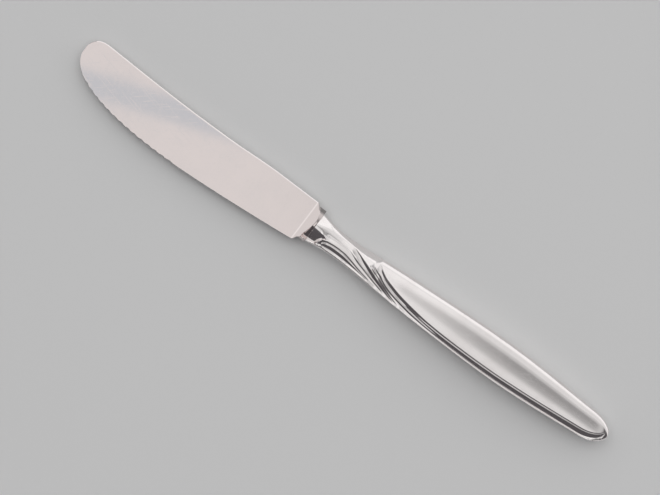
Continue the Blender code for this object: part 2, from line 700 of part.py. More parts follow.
def make_seam(parts, solder):
    """The braze between the half shells: a thin strip from the mouth round the tail and back."""
    stations = handle_stations()
    inner_length = HANDLE_LENGTH - SHELL_LAND
    rings = []
    for side, places in ((1, stations), (-1, stations[::-1])):
        for x in places:
            inner_x = JOINT_GAP + (x - JOINT_GAP) * inner_length / HANDLE_LENGTH
            inner_wide = max(taper_width(inner_x) - SHELL_LAND, 0) * tail_round(inner_x, inner_length)
            outer = (x, axis_y(x) + side * half_width(x))
            inner = (inner_x, axis_y(inner_x) + side * inner_wide)
            rings.append(
                [(*outer, SEAM_HALF), (*outer, -SEAM_HALF), (*inner, -SEAM_HALF), (*inner, SEAM_HALF)]
            )
    return [loft("brazed_seam", rings, parts, solder)]


def make_filling(parts, tools, cement):
    """The cement that fills the hollow and holds the tang."""
    stations = handle_stations()
    rings = []
    for x in stations[(stations > FIT_GAP) & (stations <= HANDLE_LENGTH - FILLING_END)]:
        wide, high = cavity_size(x)
        rings.append(oval_ring(x, axis_y(x), wide - FIT_GAP, high - FIT_GAP, 2))
    filling = loft("handle_filling", rings, parts, cement)
    slot = loft("tang_slot", tang_rings(-BOLSTER_LENGTH, FIT_GAP), tools)
    combine(filling, slot, "DIFFERENCE")
    return [filling, slot]


# Whole knife


def place_on_table(root, pieces):
    """Moves the knife so that the origin is under the middle of its bounding box."""
    bpy.context.view_layer.update()
    corners = [o.matrix_world @ v.co for o in pieces for v in o.data.vertices]
    low = np.min(corners, axis=0)
    high = np.max(corners, axis=0)
    root.location = (-(low[0] + high[0]) / 2, -(low[1] + high[1]) / 2, -low[2])


def main():
    clear_scene()
    parts = new_collection("dessert_knife")
    tools = new_collection("knife_tools")
    steel, silver, solder, cement = map(finish_material, (STEEL, SILVER, SOLDER, CEMENT))
    root = bpy.data.objects.new("knife_frame", None)
    parts.objects.link(root)
    pieces = [
        *make_blade(parts, tools, steel),
        *make_shells(parts, silver),
        *make_seam(parts, solder),
        *make_filling(parts, tools, cement),
    ]
    for piece in pieces:
        piece.parent = root
    place_on_table(root, [piece for piece in pieces if not piece.hide_render])


main()
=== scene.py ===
# %% [markdown]
# # A dessert knife with a hollow handle
# The knife is a forged steel blade cemented into a hollow handle. The handle is two pressed half shells,
# brazed together along their edges and plated with silver. Its ornament is one long smooth lobe, with
# petals that sweep from the neck down to a stepped border along the lower side.
#
# Such a knife could be sculpted freely, but then it would not fit the CAD part. This lesson keeps the packed
# CAD part as the frame. Every visible piece is made again as a finer mesh in the same place, from rules and
# a few driving sizes, and gets a procedural material.

# %% Load the CAD frame
import math

import bmesh
import bpy
import numpy as np
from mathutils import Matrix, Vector


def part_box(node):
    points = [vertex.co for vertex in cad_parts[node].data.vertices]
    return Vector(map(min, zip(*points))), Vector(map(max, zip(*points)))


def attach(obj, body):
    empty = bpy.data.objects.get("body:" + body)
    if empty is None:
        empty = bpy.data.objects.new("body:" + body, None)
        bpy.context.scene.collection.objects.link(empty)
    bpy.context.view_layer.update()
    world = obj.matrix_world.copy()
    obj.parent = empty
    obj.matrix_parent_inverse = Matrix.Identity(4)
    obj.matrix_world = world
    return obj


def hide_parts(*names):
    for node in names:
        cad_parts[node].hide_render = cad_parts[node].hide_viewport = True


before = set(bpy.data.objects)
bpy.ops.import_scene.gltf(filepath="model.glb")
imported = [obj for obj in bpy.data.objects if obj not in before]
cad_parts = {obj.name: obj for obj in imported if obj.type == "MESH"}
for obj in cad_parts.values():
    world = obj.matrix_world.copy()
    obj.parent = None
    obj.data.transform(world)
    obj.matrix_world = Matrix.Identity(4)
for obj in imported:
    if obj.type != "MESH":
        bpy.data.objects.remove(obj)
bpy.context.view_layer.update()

print("CAD nodes:", sorted(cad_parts))

# %% [markdown]
# ## One place to measure from
# Blade and handle meet at the handle's mouth. Sizes could be measured from the world's origin, but then each
# of them would hide an offset, so all sizes below are measured from the middle of the mouth. The CAD frame
# tells where that point is: the shell's first ring of vertices lies on the mouth, and the brazed seam lies
# in the middle plane. The blade runs towards -X, the handle towards +X, the spine is at +Y.

# %% Find the handle's mouth in the frame
JOINT_GAP = 0.00005
shell_corners = np.array([v.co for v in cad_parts["front_handle_shell"].data.vertices])
first_ring = shell_corners[shell_corners[:, 0] < shell_corners[:, 0].min() + JOINT_GAP]
seam_low, seam_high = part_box("brazed_seam")
mouth = np.array(
    [
        first_ring[:, 0].min() - JOINT_GAP,
        (first_ring[:, 1].min() + first_ring[:, 1].max()) / 2,
        (seam_low.z + seam_high.z) / 2,
    ]
)
print("mouth of the handle at", mouth.round(5))


# %% [markdown]
# ## Curves that all pieces use
# A forged or pressed form has soft changes. Curve objects could draw its outlines, but a rule can be asked
# for a value at any place, so all sections of a piece follow the same few numbers. The rules are built from
# an ease from 0 to 1, a smooth curve through a few stations that never overshoots them, and the
# superellipse, which lies between an ellipse and a rectangle.


# %% Shared curves
def ease(value):
    """0 to 1 with a level start and end."""
    share = np.clip(value, 0.0, 1.0)
    return share * share * (3 - 2 * share)


def ease_over(place, span):
    """0 before a span of two places, 1 after it."""
    return ease((place - span[0]) / (span[1] - span[0]))


def between(pair, share):
    return pair[0] + (pair[1] - pair[0]) * share


def curve_through(stations, at):
    """A smooth curve through (place, value) stations that never overshoots them."""
    x, y = np.array(stations, float).T
    rise = np.diff(y) / np.diff(x)
    slope = np.concatenate([rise[:1], np.zeros(len(x) - 2), rise[-1:]])
    for i in range(1, len(x) - 1):
        if rise[i - 1] * rise[i] > 0:
            slope[i] = 2 / (1 / rise[i - 1] + 1 / rise[i])
    i = np.clip(np.searchsorted(x, at) - 1, 0, len(x) - 2)
    span = x[i + 1] - x[i]
    t = np.clip((at - x[i]) / span, 0, 1)
    start = y[i] * (1 + 2 * t) + slope[i] * span * t
    end = y[i + 1] * (3 - 2 * t) - slope[i + 1] * span * (1 - t)
    return start * (1 - t) ** 2 + end * t**2


def superellipse(share, power):
    """Height of a unit superellipse at a share of its half width."""
    inside = np.clip(np.abs(share), 0.0, 1.0)
    return (1 - inside**power) ** (1 / power)


print("after a quarter of its way an ease is at", ease(0.25))

# %% [markdown]
# ## Rings to mesh
# Blade, shells and seam are long pieces whose section changes on the way. They could be swept along curves
# or pulled into shape by hand. A loft is easier to steer: closed rings of points, one after the other, joined
# by quads and capped at the ends. One helper makes them all, so they all come out closed, with normals that
# point outwards, sitting at the origin. Edges that turn by more than a set angle stay sharp.

# %% Loft helper
SHARP_ANGLE = math.radians(32)


def new_piece(name, points, edges, faces):
    """A mesh object that sits at the origin."""
    mesh = bpy.data.meshes.new(name)
    mesh.from_pydata(points.tolist(), edges, faces)
    made = bpy.data.objects.new(name, mesh)
    bpy.context.scene.collection.objects.link(made)
    return made


def shade(mesh, sharp_angle):
    """Smooth shading that leaves edges sharp where they turn by more than an angle."""
    mesh.shade_smooth()
    mesh.set_sharp_from_angle(angle=sharp_angle)


def loft(name, rings):
    """A closed piece through rings, an array of (ring, point, xyz) from the mouth's middle."""
    rings = np.asarray(rings, float) + mouth
    count, size, _ = rings.shape
    here = np.arange(size)
    after = (here + 1) % size
    quads = []
    for i in range(count - 1):
        a, b = i * size, (i + 1) * size
        quads.append(np.stack([a + here, a + after, b + after, b + here], axis=1))
    faces = np.concatenate(quads).tolist()
    faces.append(list(range(size))[::-1])
    faces.append(list(range((count - 1) * size, count * size)))
    made = new_piece(name, rings.reshape(-1, 3), [], faces)
    cleaner = bmesh.new()
    cleaner.from_mesh(made.data)
    bmesh.ops.recalc_face_normals(cleaner, faces=cleaner.faces)
    cleaner.to_mesh(made.data)
    cleaner.free()
    shade(made.data, SHARP_ANGLE)
    return made


def triangles(piece):
    return sum(len(face.vertices) - 2 for face in piece.data.polygons)


def keep_attribute(piece, name, values):
    """One number for each point of a piece, which its material can read."""
    layer = piece.data.attributes.new(name, "FLOAT", "POINT")
    layer.data.foreach_set("value", values.astype(np.float32))


print("edges stay sharp from", round(math.degrees(SHARP_ANGLE)), "degrees")

# %% [markdown]
# ## The handle's plain form
# Without its ornament the handle is a soft oval bar: wide at the mouth, narrow at the neck, widest at the
# belly, and round at the tail. Its axis leans a little towards the spine side. A subdivided cylinder could be
# scaled to look like that, but its outline would only come near. Here a width and a thickness at five
# stations give the outline, and half a superellipse fills each section.

# %% Handle outline and thickness
HANDLE_LENGTH = 0.1133
HANDLE_LEAN = 0.0034
HANDLE_DROP = 0.00015
MOUTH_WIDTH = 0.0102
MOUTH_THICKNESS = 0.0062
NECK_AT = 0.0100
NECK_WIDTH = 0.0080
NECK_THICKNESS = 0.0050
SHOULDER_AT = 0.0345
SHOULDER_WIDTH = 0.01084
SHOULDER_THICKNESS = 0.0066
BELLY_AT = 0.0710
BELLY_WIDTH = 0.0132
BELLY_THICKNESS = 0.0076
TAIL_WIDTH = 0.0085
TAIL_THICKNESS = 0.0054
TAIL_ROUND = 0.0080
TAIL_POWER = 2.2
TAIL_DOME = 0.0200
TAIL_DOME_POWER = 3.0
TAIL_BLUNT = 0.0003
SKIN_WIDE = 0.9996
SKIN_HIGH = 0.996


def axis_y(x):
    return HANDLE_LEAN * x / HANDLE_LENGTH - HANDLE_DROP * ease(x / NECK_AT)


def tail_round(x, end):
    """1 along the handle, falling to 0 at the end of its tail."""
    share = np.clip(1 - (end - x) / TAIL_ROUND, 0, 1)
    return np.sqrt(1 - share**TAIL_POWER)


def taper(x, mouth_size, neck, shoulder, belly, tail):
    """Half of a width or thickness, before the tail is rounded off."""
    stations = [(0, mouth_size), (NECK_AT, neck), (SHOULDER_AT, shoulder), (BELLY_AT, belly)]
    return curve_through([*stations, (HANDLE_LENGTH, tail)], x) / 2


def taper_width(x):
    return taper(x, MOUTH_WIDTH, NECK_WIDTH, SHOULDER_WIDTH, BELLY_WIDTH, TAIL_WIDTH)


def half_width(x):
    return SKIN_WIDE * taper_width(x) * tail_round(x, HANDLE_LENGTH)


def half_height(x):
    high = taper(
        x, MOUTH_THICKNESS, NECK_THICKNESS, SHOULDER_THICKNESS, BELLY_THICKNESS, TAIL_THICKNESS
    )
    share = np.clip(1 - (HANDLE_LENGTH + TAIL_BLUNT - x) / TAIL_DOME, 0, 1)
    return SKIN_HIGH * high * np.sqrt(1 - share**TAIL_DOME_POWER)


print("handle's half width at neck and belly:", half_width(NECK_AT).round(5), half_width(BELLY_AT).round(5))

# %% [markdown]
# The section is a plain oval at the neck and a fuller one along the body. Places across the handle are
# counted from the spine's outline.

# %% Oval sections
NECK_POWER = 2.2
BODY_POWER = 2.8
POWER_TURN = (0.0300, 0.0600)


def section_power(x):
    """How full the oval is."""
    return between((NECK_POWER, BODY_POWER), ease_over(x, POWER_TURN))


def plain_z(x, places):
    """Height of the plain oval at places across the handle, counted from the spine's outline."""
    wide = half_width(x)
    return half_height(x) * superellipse((places - wide) / wide, section_power(x))


print("powers of the oval at neck and belly:", section_power(NECK_AT), section_power(BELLY_AT))

# %% [markdown]
# ## The ornament as lines
# A die presses the ornament into the sheet. A bump map could imitate it, but polished silver shows every
# slope, so the relief is real mesh. Each line of it is a crest or the bottom of a groove, drawn through a
# few stations: millimetres along the handle, and millimetres up from the lower outline. What the eye sees
# are the walls between the lines. A wall that falls towards the edge side mirrors the dark room there, and a
# level one mirrors the light studio, so each line also says how steeply the wall above it falls.
#
# The first line is the rim. It runs along the whole edge side. At the neck it lies well inside the outline,
# and further down it moves out until it is the border's own lip.

# %% Rim
MM = 0.001
RIM = (
    (0, 1.15), (2.4, 0.9), (3.3, 1.05), (4.0, 1.35), (6.0, 1.3), (9.1, 1.05), (15.4, 0.9),
    (21.7, 0.75), (28.0, 0.6), (34.3, 0.47), (40.6, 0.4), (46.9, 0.36), (53.2, 0.33), (60, 0.28),
)
RIM_FALLS = ((0, -0.1), (20, -0.18), (34, -0.22), (42, -0.36), (55, -0.6), (60, -0.65))
RIM_WALL_START = 3.0
RIM_WALL_GROW = 3.0
RIM_WALL_END = 109.2
# near the tail's tip the rim's height is at most the half width divided by this
RIM_PARTS = 3


def line_through(stations, x):
    """A curve through stations in millimetres, in metres."""
    return curve_through([(along * MM, up * MM) for along, up in stations], x)


def rim_height(x):
    return np.minimum(line_through(RIM, x), half_width(x) / RIM_PARTS)


def rim_fall(x):
    return curve_through(RIM_FALLS, x / MM)


def rim_shown(x):
    """The wall above the rim grows at the neck and ends before the tail's tip."""
    grown = ease((x / MM - RIM_WALL_START) / RIM_WALL_GROW)
    return grown * ease(1 + (RIM_WALL_END - x / MM) / RIM_WALL_GROW)


print("rim over the lower outline at the neck:", rim_height(NECK_AT).round(5))

# %% [markdown]
# The other lines come from the spine's outline or rise from the rim, and most of them run out into the rim.
# They could be curve objects, but then each section would have to look for its crossings. One helper
# gives what a section needs of a line: its height, the fall of the wall above it, and how far that wall
# shows, because a wall grows after the line's start and fades before its end.

# %% How a line is drawn
DARK_FALL = 0.45
LEVEL = -0.05
RISING = -0.3
SPINE_LEAD = 0.0050
RIM_LEAD = 0.0010
LINE_RUN_OUT = 0.0030
WALL_GROW = 0.6


def drawn(x, stations, fall, start=None, grow=WALL_GROW, fade=0.0, from_rim=False, rise=0.0):
    """Height over the lower outline, fall of the wall above, and how far that wall shows (0 to 1)."""
    first, last = stations[0][0] * MM, stations[-1][0] * MM
    height = line_through(stations, x) + rise
    before, lead = (rim_height(x), RIM_LEAD) if from_rim else (2 * half_width(x), SPINE_LEAD)
    height = between((before, height), ease(1 + (x - first) / lead))
    shown = ease((x - (first if start is None else start * MM)) / (grow * MM))
    if fade:
        height = between((height, rim_height(x)), ease((x - last) / LINE_RUN_OUT))
        ended = ease(1 + (x - last) / (fade * MM))
        fall = between((fall, rim_fall(x)), ended)
        shown = between((shown, rim_shown(x)), ended)
    return height, fall, shown


print("dark walls fall by", DARK_FALL, "and level ones by", LEVEL)

# %% [markdown]
# The main lobe starts as a point on the spine side and sweeps down to the border. At first one broad
# groove lies between its edge and the next ridge. Further down a thin bead rises in that groove, and the
# ridge sinks until only the bead and a broad cove are left. Groove, bead and cove could have stations of
# their own. As shares of the way from edge to ridge they never cross those two.

# %% Main lobe and border
LOBE_EDGE = (
    (23.6, 9.0), (24.0, 8.0), (24.9, 6.95), (25.7, 6.4), (26.5, 6.0), (28.0, 5.4), (31.2, 4.65),
    (34.3, 3.97), (40.6, 3.1), (46.9, 2.53), (53.2, 2.34), (60, 2.33), (70, 2.42), (80, 2.56),
)
RIDGE = (
    (21.6, 8.6), (21.9, 7.4), (22.4, 6.4), (23.3, 5.65), (24.9, 5.15), (26.5, 4.5), (28.0, 3.85),
    (31.2, 2.9), (34.3, 2.3), (37.5, 1.85), (40.6, 1.5), (46.9, 1.0), (53.2, 0.83), (60, 0.82), (80, 0.95),
)
RIDGE_FOOT = (
    (21.2, 7.9), (21.6, 7.0), (22.4, 6.0), (23.3, 5.15), (24.9, 4.45), (26.5, 3.9), (28.0, 3.25),
    (31.2, 2.35), (34.3, 1.75), (37.5, 1.28), (40.6, 0.93), (46.9, 0.63), (53.2, 0.53), (60, 0.5), (80, 0.55),
)
# shares of the way from edge to ridge, at stations along the handle
GROOVE_SHARES = (
    (23.6, 0.04), (24.4, 0.16), (25.7, 0.30), (28, 0.36), (40, 0.42), (43.8, 0.37), (50, 0.30), (66, 0.21),
)
BEAD_SHARES = (
    (23.6, 0.08), (24.4, 0.28), (25.7, 0.50), (28, 0.63), (40, 0.60), (43.8, 0.55), (50, 0.45), (66, 0.37),
)
COVE_SHARES = ((23.6, 0.12), (24.4, 0.40), (25.7, 0.64), (28, 0.80), (43.8, 0.78), (50, 0.77), (66, 0.76))
BEAD_RISES = (0.037, 0.056)
COVE_DEEPENS = (0.033, 0.040)
RIDGE_SINKS = (0.041, 0.053)
EDGE_GROW = 0.8
FOOT_GROW = 2.0
TAIL_BORDER = 0.0013


def border_lines(x):
    """Edge of the main lobe, then a groove, a bead, a cove, a ridge and the cove's foot."""
    rise = half_width(x) - taper_width(x) * tail_round(x, HANDLE_LENGTH - TAIL_BORDER)
    edge, _, edge_shown = drawn(x, LOBE_EDGE, 0, grow=EDGE_GROW, rise=rise)
    ridge = drawn(x, RIDGE, 0, rise=rise)[0]
    foot, _, foot_shown = drawn(x, RIDGE_FOOT, 0, start=RIDGE[0][0], grow=FOOT_GROW, rise=rise)
    bead_fall = between((DARK_FALL, LEVEL), ease_over(x, BEAD_RISES))
    cove_fall = between((LEVEL, DARK_FALL), ease_over(x, COVE_DEEPENS))
    ridge_fall = between((LEVEL, DARK_FALL), ease_over(x, RIDGE_SINKS))
    groove, bead, cove = [
        edge + curve_through(shares, x / MM) * (ridge - edge)
        for shares in (GROOVE_SHARES, BEAD_SHARES, COVE_SHARES)
    ]
    return [
        (edge, 0, 0 * x),
        (groove, DARK_FALL, edge_shown),
        (bead, bead_fall, edge_shown),
        (cove, cove_fall, edge_shown),
        (ridge, ridge_fall, edge_shown),
        (foot, DARK_FALL, foot_shown),
    ]


belly_lines = [round(float(height[0]) / MM, 2) for height, _, _ in border_lines(np.array([BELLY_AT]))]
print("border lines over the lower outline at the belly, in mm:", belly_lines)

# %% [markdown]
# Under the lobe's point a thin ridge and the middle petal fan out, and at the neck the first petal curls
# up from the rim. Copies of one petal would be quicker, but no two of them have the same sweep, so each
# line has its own stations.

# %% Stations of the petals
THIN_RIDGE = (
    (20.8, 6.0), (21.7, 5.3), (22.7, 4.85), (23.6, 4.5), (24.9, 4.15), (26.5, 3.55), (28.0, 2.9),
    (31.2, 1.85), (34.3, 1.1), (36.5, 0.75),
)
THIN_GROOVE = (
    (20.8, 5.6), (21.7, 4.85), (22.7, 4.4), (23.6, 4.05), (24.9, 3.75), (26.5, 3.1), (28.0, 2.55),
    (31.2, 1.6), (34.3, 0.95), (36.5, 0.65),
)
PETAL = (
    (12.9, 7.1), (13.9, 6.6), (15.4, 6.25), (17.0, 5.9), (18.6, 5.5), (20.2, 5.05), (22.4, 4.4),
    (23.3, 4.0), (24.9, 3.5), (28.0, 2.35), (31.2, 1.4), (33.5, 0.9), (35.5, 0.6),
)
PETAL_GROOVE = (
    (13.5, 6.75), (14.5, 6.35), (15.4, 5.95), (17.0, 5.25), (18.6, 4.4), (20.2, 3.75), (21.7, 3.2),
    (23.3, 2.75), (24.9, 2.4), (28.0, 1.7), (31.2, 1.05), (33.0, 0.75), (35.0, 0.55),
)
PETAL_RIDGE = (
    (0, 6.4), (9.1, 5.2), (13.2, 5.4), (15.4, 4.6), (18.6, 3.4), (20.2, 3.05), (21.7, 2.65), (24.9, 2.05),
    (28.0, 1.45), (31.0, 0.9),
)
VALLEY = (
    (0, 5.5), (2.8, 5.1), (5.4, 4.6), (7.6, 4.6), (12.3, 4.5), (14.5, 3.95), (16.7, 3.3), (19.2, 2.75),
    (21.7, 2.25), (24.9, 1.65), (28.0, 1.1), (30.0, 0.8),
)
CURL = (
    (2.9, 1.6), (3.2, 2.4), (3.7, 2.9), (4.4, 3.2), (5.8, 3.38), (9.1, 3.42), (12.3, 3.3),
    (15.4, 2.8), (18.6, 2.1), (21.7, 1.55), (24.9, 1.05), (26.5, 0.85),
)
CURL_GROOVE = (
    (3.7, 1.4), (4.7, 2.3), (5.9, 2.7), (9.1, 2.85), (12.3, 2.75), (15.4, 2.2), (18.6, 1.6), (21.7, 1.2),
    (24.5, 0.9),
)
CURL_BEAD = (
    (4.2, 1.22), (5.4, 1.97), (6.3, 2.32), (8.1, 2.52), (12.3, 2.37), (15.4, 1.95), (19.2, 1.35),
    (22.0, 1.05),
)
CURL_COVE = (
    (5.4, 1.28), (6.6, 1.28), (9.1, 1.24), (12.3, 1.2), (15.4, 1.12), (18.6, 1.03), (23.6, 0.85),
)
print("the middle petal runs from", PETAL[0][0], "to", PETAL[-1][0], "mm along the handle")

# %% [markdown]
# Some of these walls turn on their way: they start level with the neck and get steeper as the petals close
# up. Their falls are therefore curves along the handle too.

# %% Lines of the petals
THIN_FALLS = ((20, 0.1), (22, 0.22), (23.5, 0.3), (25, 0.34), (28, 0.38), (31, 0.35), (34, 0.25))
PETAL_FALLS = ((0, -0.22), (20, -0.2), (25, 0.2), (28, 0.3))
VALLEY_FALLS = ((0, 0.1), (5, 0.2), (12, 0.22), (15.5, 0.3), (19, 0.45), (28, 0.45))
# millimetres: where a line's wall starts, over which length it grows, and over which it fades
FAN = {"start": 21.2, "grow": 1.5, "fade": 2.5}
PETAL_GROOVE_RUN = {"grow": 1.2, "fade": 2.5}
PETAL_RIDGE_RUN = {"start": 13.5, "grow": 3.0, "fade": 1.5}
VALLEY_RUN = {"start": 4.0, "grow": 2.0, "fade": 1.5}
CURL_RUN = {"grow": 0.5, "fade": 2.0, "from_rim": True}
CURL_BEAD_RUN = {"grow": 1.0, "fade": 1.5, "from_rim": True}
CURL_COVE_RUN = {"grow": 1.2, "fade": 1.5, "from_rim": True}


def petal_lines(x):
    """Thin ridge and groove, middle petal, valley, first petal and rim, from the lobe down."""
    thin_fall = curve_through(THIN_FALLS, x / MM)
    petal_fall = curve_through(PETAL_FALLS, x / MM)
    valley_fall = curve_through(VALLEY_FALLS, x / MM)
    return [
        drawn(x, THIN_RIDGE, thin_fall, **FAN),
        drawn(x, THIN_GROOVE, DARK_FALL, **FAN),
        drawn(x, PETAL, thin_fall, **FAN),
        drawn(x, PETAL_GROOVE, DARK_FALL, **PETAL_GROOVE_RUN),
        drawn(x, PETAL_RIDGE, petal_fall, **PETAL_RIDGE_RUN),
        drawn(x, VALLEY, valley_fall, **VALLEY_RUN),
        drawn(x, CURL, RISING, **CURL_RUN),
        drawn(x, CURL_GROOVE, DARK_FALL, **CURL_BEAD_RUN),
        drawn(x, CURL_BEAD, LEVEL, **CURL_BEAD_RUN),
        drawn(x, CURL_COVE, DARK_FALL, **CURL_COVE_RUN),
        (rim_height(x), rim_fall(x), rim_shown(x)),
    ]


print("lines of the petals, with the rim:", len(petal_lines(np.array([NECK_AT]))))

# %% [markdown]
# ## The neck
# Before the first petal the neck is scooped out, so that the petal stands free at its start. The scoop falls
# from the neck's crest to the rim, as a plane that gets gentler towards the crest. It stops in short walls
# before the rim and before the first petal. A boolean could cut it, but it would leave hard edges. A rule for
# its height lets each section take the lower of two forms, with a small radius between them.

# %% Scoop of the neck
SCOOP_FLOOR = 0.0010
SCOOP_SLOPE = 0.47
SCOOP_BEND_AT = 0.0032
SCOOP_BEND = 160.0
SCOOP_FLAT = 0.0025
SCOOP_RISE = 0.25
SCOOP_EDGE = 0.00025
SCOOP_WALL = 1.5
SCOOP_FOOT = 0.0001
CURL_RISE_END = 10


def soft_lower(a, b, radius):
    """The lower of two heights, with a round change from one to the other."""
    near = np.maximum(radius - np.abs(a - b), 0) / radius
    return np.minimum(a, b) - near * near * radius / 4


def above(value, radius):
    """The value where it is above zero, else zero, with a round change."""
    return np.where(value > radius, value, np.maximum(value + radius, 0) ** 2 / (4 * radius))


def scoop_z(x, up):
    """Height of the scoop over the seam's plane at a height over the lower outline."""
    rise = [station for station in CURL if station[0] < CURL_RISE_END]
    curl_x = np.interp(up / MM, [up for _, up in rise], [along for along, _ in rise]) * MM
    past_curl = above(x - curl_x + SCOOP_EDGE, SCOOP_FOOT)
    past_rim = above(rim_height(x) + SCOOP_EDGE - up, SCOOP_FOOT)
    over_rim = up - rim_height(x)
    bend = SCOOP_BEND * np.maximum(0, over_rim - SCOOP_BEND_AT) ** 2 / 2
    floor = SCOOP_FLOOR + SCOOP_SLOPE * over_rim - bend + SCOOP_RISE * np.maximum(0, x - SCOOP_FLAT)
    return floor + SCOOP_WALL * (past_curl + past_rim)


print("scoop over the seam in the mouth's middle:", scoop_z(0.0, MOUTH_WIDTH / 2).round(5))

# %% [markdown]
# On the spine side the neck falls off as a steep flat, which ends in a short wall where the lobes begin.
# It is one more height that a section is cut down to.

# %% Back of the neck
SEAM_THICKNESS = 0.0002
SHELL_FACE = SEAM_THICKNESS / 2
BACK_SLOPES = ((0, 3.0), (5, 2.6), (9, 1.9), (14, 1.35), (18, 1.1), (24, 1.0))
BACK_WALL = 2.5
LOBE_START = (
    (23.3, 5.0), (22.4, 5.4), (22.0, 5.7), (21.8, 6.3), (22.2, 7.4), (22.9, 8.2), (23.4, 9.3),
)


def back_z(x, up):
    """Height of the neck's back over the seam's plane at a height over the lower outline."""
    along, start_up = np.array(LOBE_START).T
    wall_x = np.interp(up / MM, start_up, along) * MM
    from_outline = np.maximum(0, 2 * half_width(x) - up)
    flat = SHELL_FACE + curve_through(BACK_SLOPES, x / MM) * from_outline
    return flat + BACK_WALL * np.maximum(0, x - wall_x)


print("back of the neck over the seam at its narrowest:", back_z(NECK_AT, NECK_WIDTH / 2).round(5))

# %% [markdown]
# Between that flat and the scoop the neck has a crest. On the spine side of the crest lies one more
# facet, the brightest place of the handle. It ends in a slanting line before the neck is at its narrowest.

# %% Bright facet of the neck
NECK_CREST = ((0, 6.45), (1.6, 6.6), (2.8, 6.85), (4.1, 7.2), (6.0, 7.7), (9.0, 8.0), (120, 8.0))
FACET_SLOPE = 0.65
FACET_END = ((5.0, 7.2), (9.3, 2.8))
FACET_RELEASE = 0.5


def facet_z(x, up):
    """Height of the bright facet over the seam's plane at a height over the lower outline."""
    crest = curve_through(NECK_CREST, x / MM) * MM
    crest_z = plain_z(x, 2 * half_width(x) - crest)
    ups, ends = np.array(FACET_END).T
    past_end = np.maximum(0, x - np.interp(up / MM, ups, ends) * MM)
    return crest_z - FACET_SLOPE * (up - crest) + FACET_RELEASE * past_end


print("facet over the seam beside the crest:", facet_z(JOINT_GAP, NECK_CREST[0][1] * MM).round(5))

# %% [markdown]
# ## Half shells
# Each half of the handle is a sheet pressed into a die. A finely subdivided grid with a displacement could
# be used, but its points would not follow the lines, and the crests would come out ragged. In a loft every
# line of the ornament has its own row of points. The sections stand close together over the neck and
# the petals and at the tail, and wider along the plain body.

# %% Places of the sections
NECK_STEP = 0.00010
NECK_END = 0.0060
PETAL_STEP = 0.00020
PETALS_END = 0.0520
BODY_STEP = 0.0006
TAIL_STATIONS = 60
TAIL_TURN = 0.47


def handle_stations():
    tail_start = HANDLE_LENGTH - TAIL_ROUND
    neck = np.arange(JOINT_GAP, NECK_END, NECK_STEP)
    petals = np.arange(NECK_END, PETALS_END, PETAL_STEP)
    body = np.arange(PETALS_END, tail_start, BODY_STEP)
    turns = np.linspace(0, TAIL_TURN, TAIL_STATIONS)
    return np.concatenate([neck, petals, body, tail_start + TAIL_ROUND * np.sin(math.pi * turns)])


print("sections along the handle:", len(handle_stations()))

# %% [markdown]
# Across a section the lines are set in order, from the spine to the edge side, and kept a hair apart where
# they meet. Their depths add up from the falls of the walls between them. At the tail the walls fade on
# the spine side, so the border ends round the tip.

# %% Places and depths of the lines
LINES = (
    "edge", "groove", "bead", "cove", "ridge", "foot", "thin_ridge", "thin_groove", "petal", "petal_groove",
    "petal_ridge", "valley", "curl", "curl_groove", "curl_bead", "curl_cove", "rim",
)
# crests that start level with the plain form, and where they sink to the lines beside them
FREE_CRESTS = {"ridge": (0.0210, 0.0300), "thin_ridge": (0.0205, 0.0260), "petal": (0.0205, 0.0260)}
LINE_GAP = 0.00003
# all gaps together take at most the width divided by this
GAP_PARTS = 4
SPINE_FADE = 0.0004
TAIL_LINES_TURN = 0.0020
TAIL_LINES_END = 0.70
TAIL_LINES_FADE = 0.35


def line_places(width, lines):
    """Places of the lines across the handle, counted from the spine's outline."""
    gap = np.minimum(LINE_GAP, width / (GAP_PARTS * len(lines)))
    steps = gap * np.arange(1, len(lines) + 1)[:, None]
    places = np.array([np.maximum(width - height, 0) for height, _, _ in lines])
    places = np.maximum.accumulate(places - steps, axis=0) + steps
    return np.minimum(places, width - 2 * gap - steps[::-1])


def line_depths(x, lines, places):
    """Depths of the lines, from the falls of the walls between them."""
    oval = plain_z(x, places)
    tail = ease((x - HANDLE_LENGTH + TAIL_ROUND) / TAIL_LINES_TURN)
    spine_side = 1 - ease((places / half_width(x) - TAIL_LINES_END) / TAIL_LINES_FADE)
    depths = [0 * x]
    for i, (_, fall, shown) in enumerate(lines[1:], 1):
        square = 1 / np.hypot(1, np.gradient(places[i], x))
        extra = fall * square * (places[i] - places[i - 1]) - (oval[i - 1] - oval[i])
        depth = depths[-1] + extra * shown * (1 - tail * spine_side[i])
        if LINES[i] in FREE_CRESTS:
            depth = depth * ease_over(x, FREE_CRESTS[LINES[i]])
        depths.append(depth)
    return np.array(depths) * ease(places / SPINE_FADE) * tail_round(x, HANDLE_LENGTH)


print("lines across a section:", len(LINES))

# %% [markdown]
# Lines alone would give a faceted handle. Between two lines the depth therefore eases from one to the other,
# so crests and grooves come out round, as pressed sheet is. The broad flutes get more points than the narrow
# walls, and below the rim the flank turns down to the seam.

# %% Relief across the handle
LOBE_POINTS = 36
BAND_STEPS = 5
# points in the wide bands, named by the line above them
WIDE_BANDS = {"thin_groove": 16, "petal_groove": 20, "petal_ridge": 8, "valley": 24}
ROUNDNESS = 0.45
FLANK_POINTS = 8
FLANK_TURNS = np.linspace(0, math.pi / 2, FLANK_POINTS)


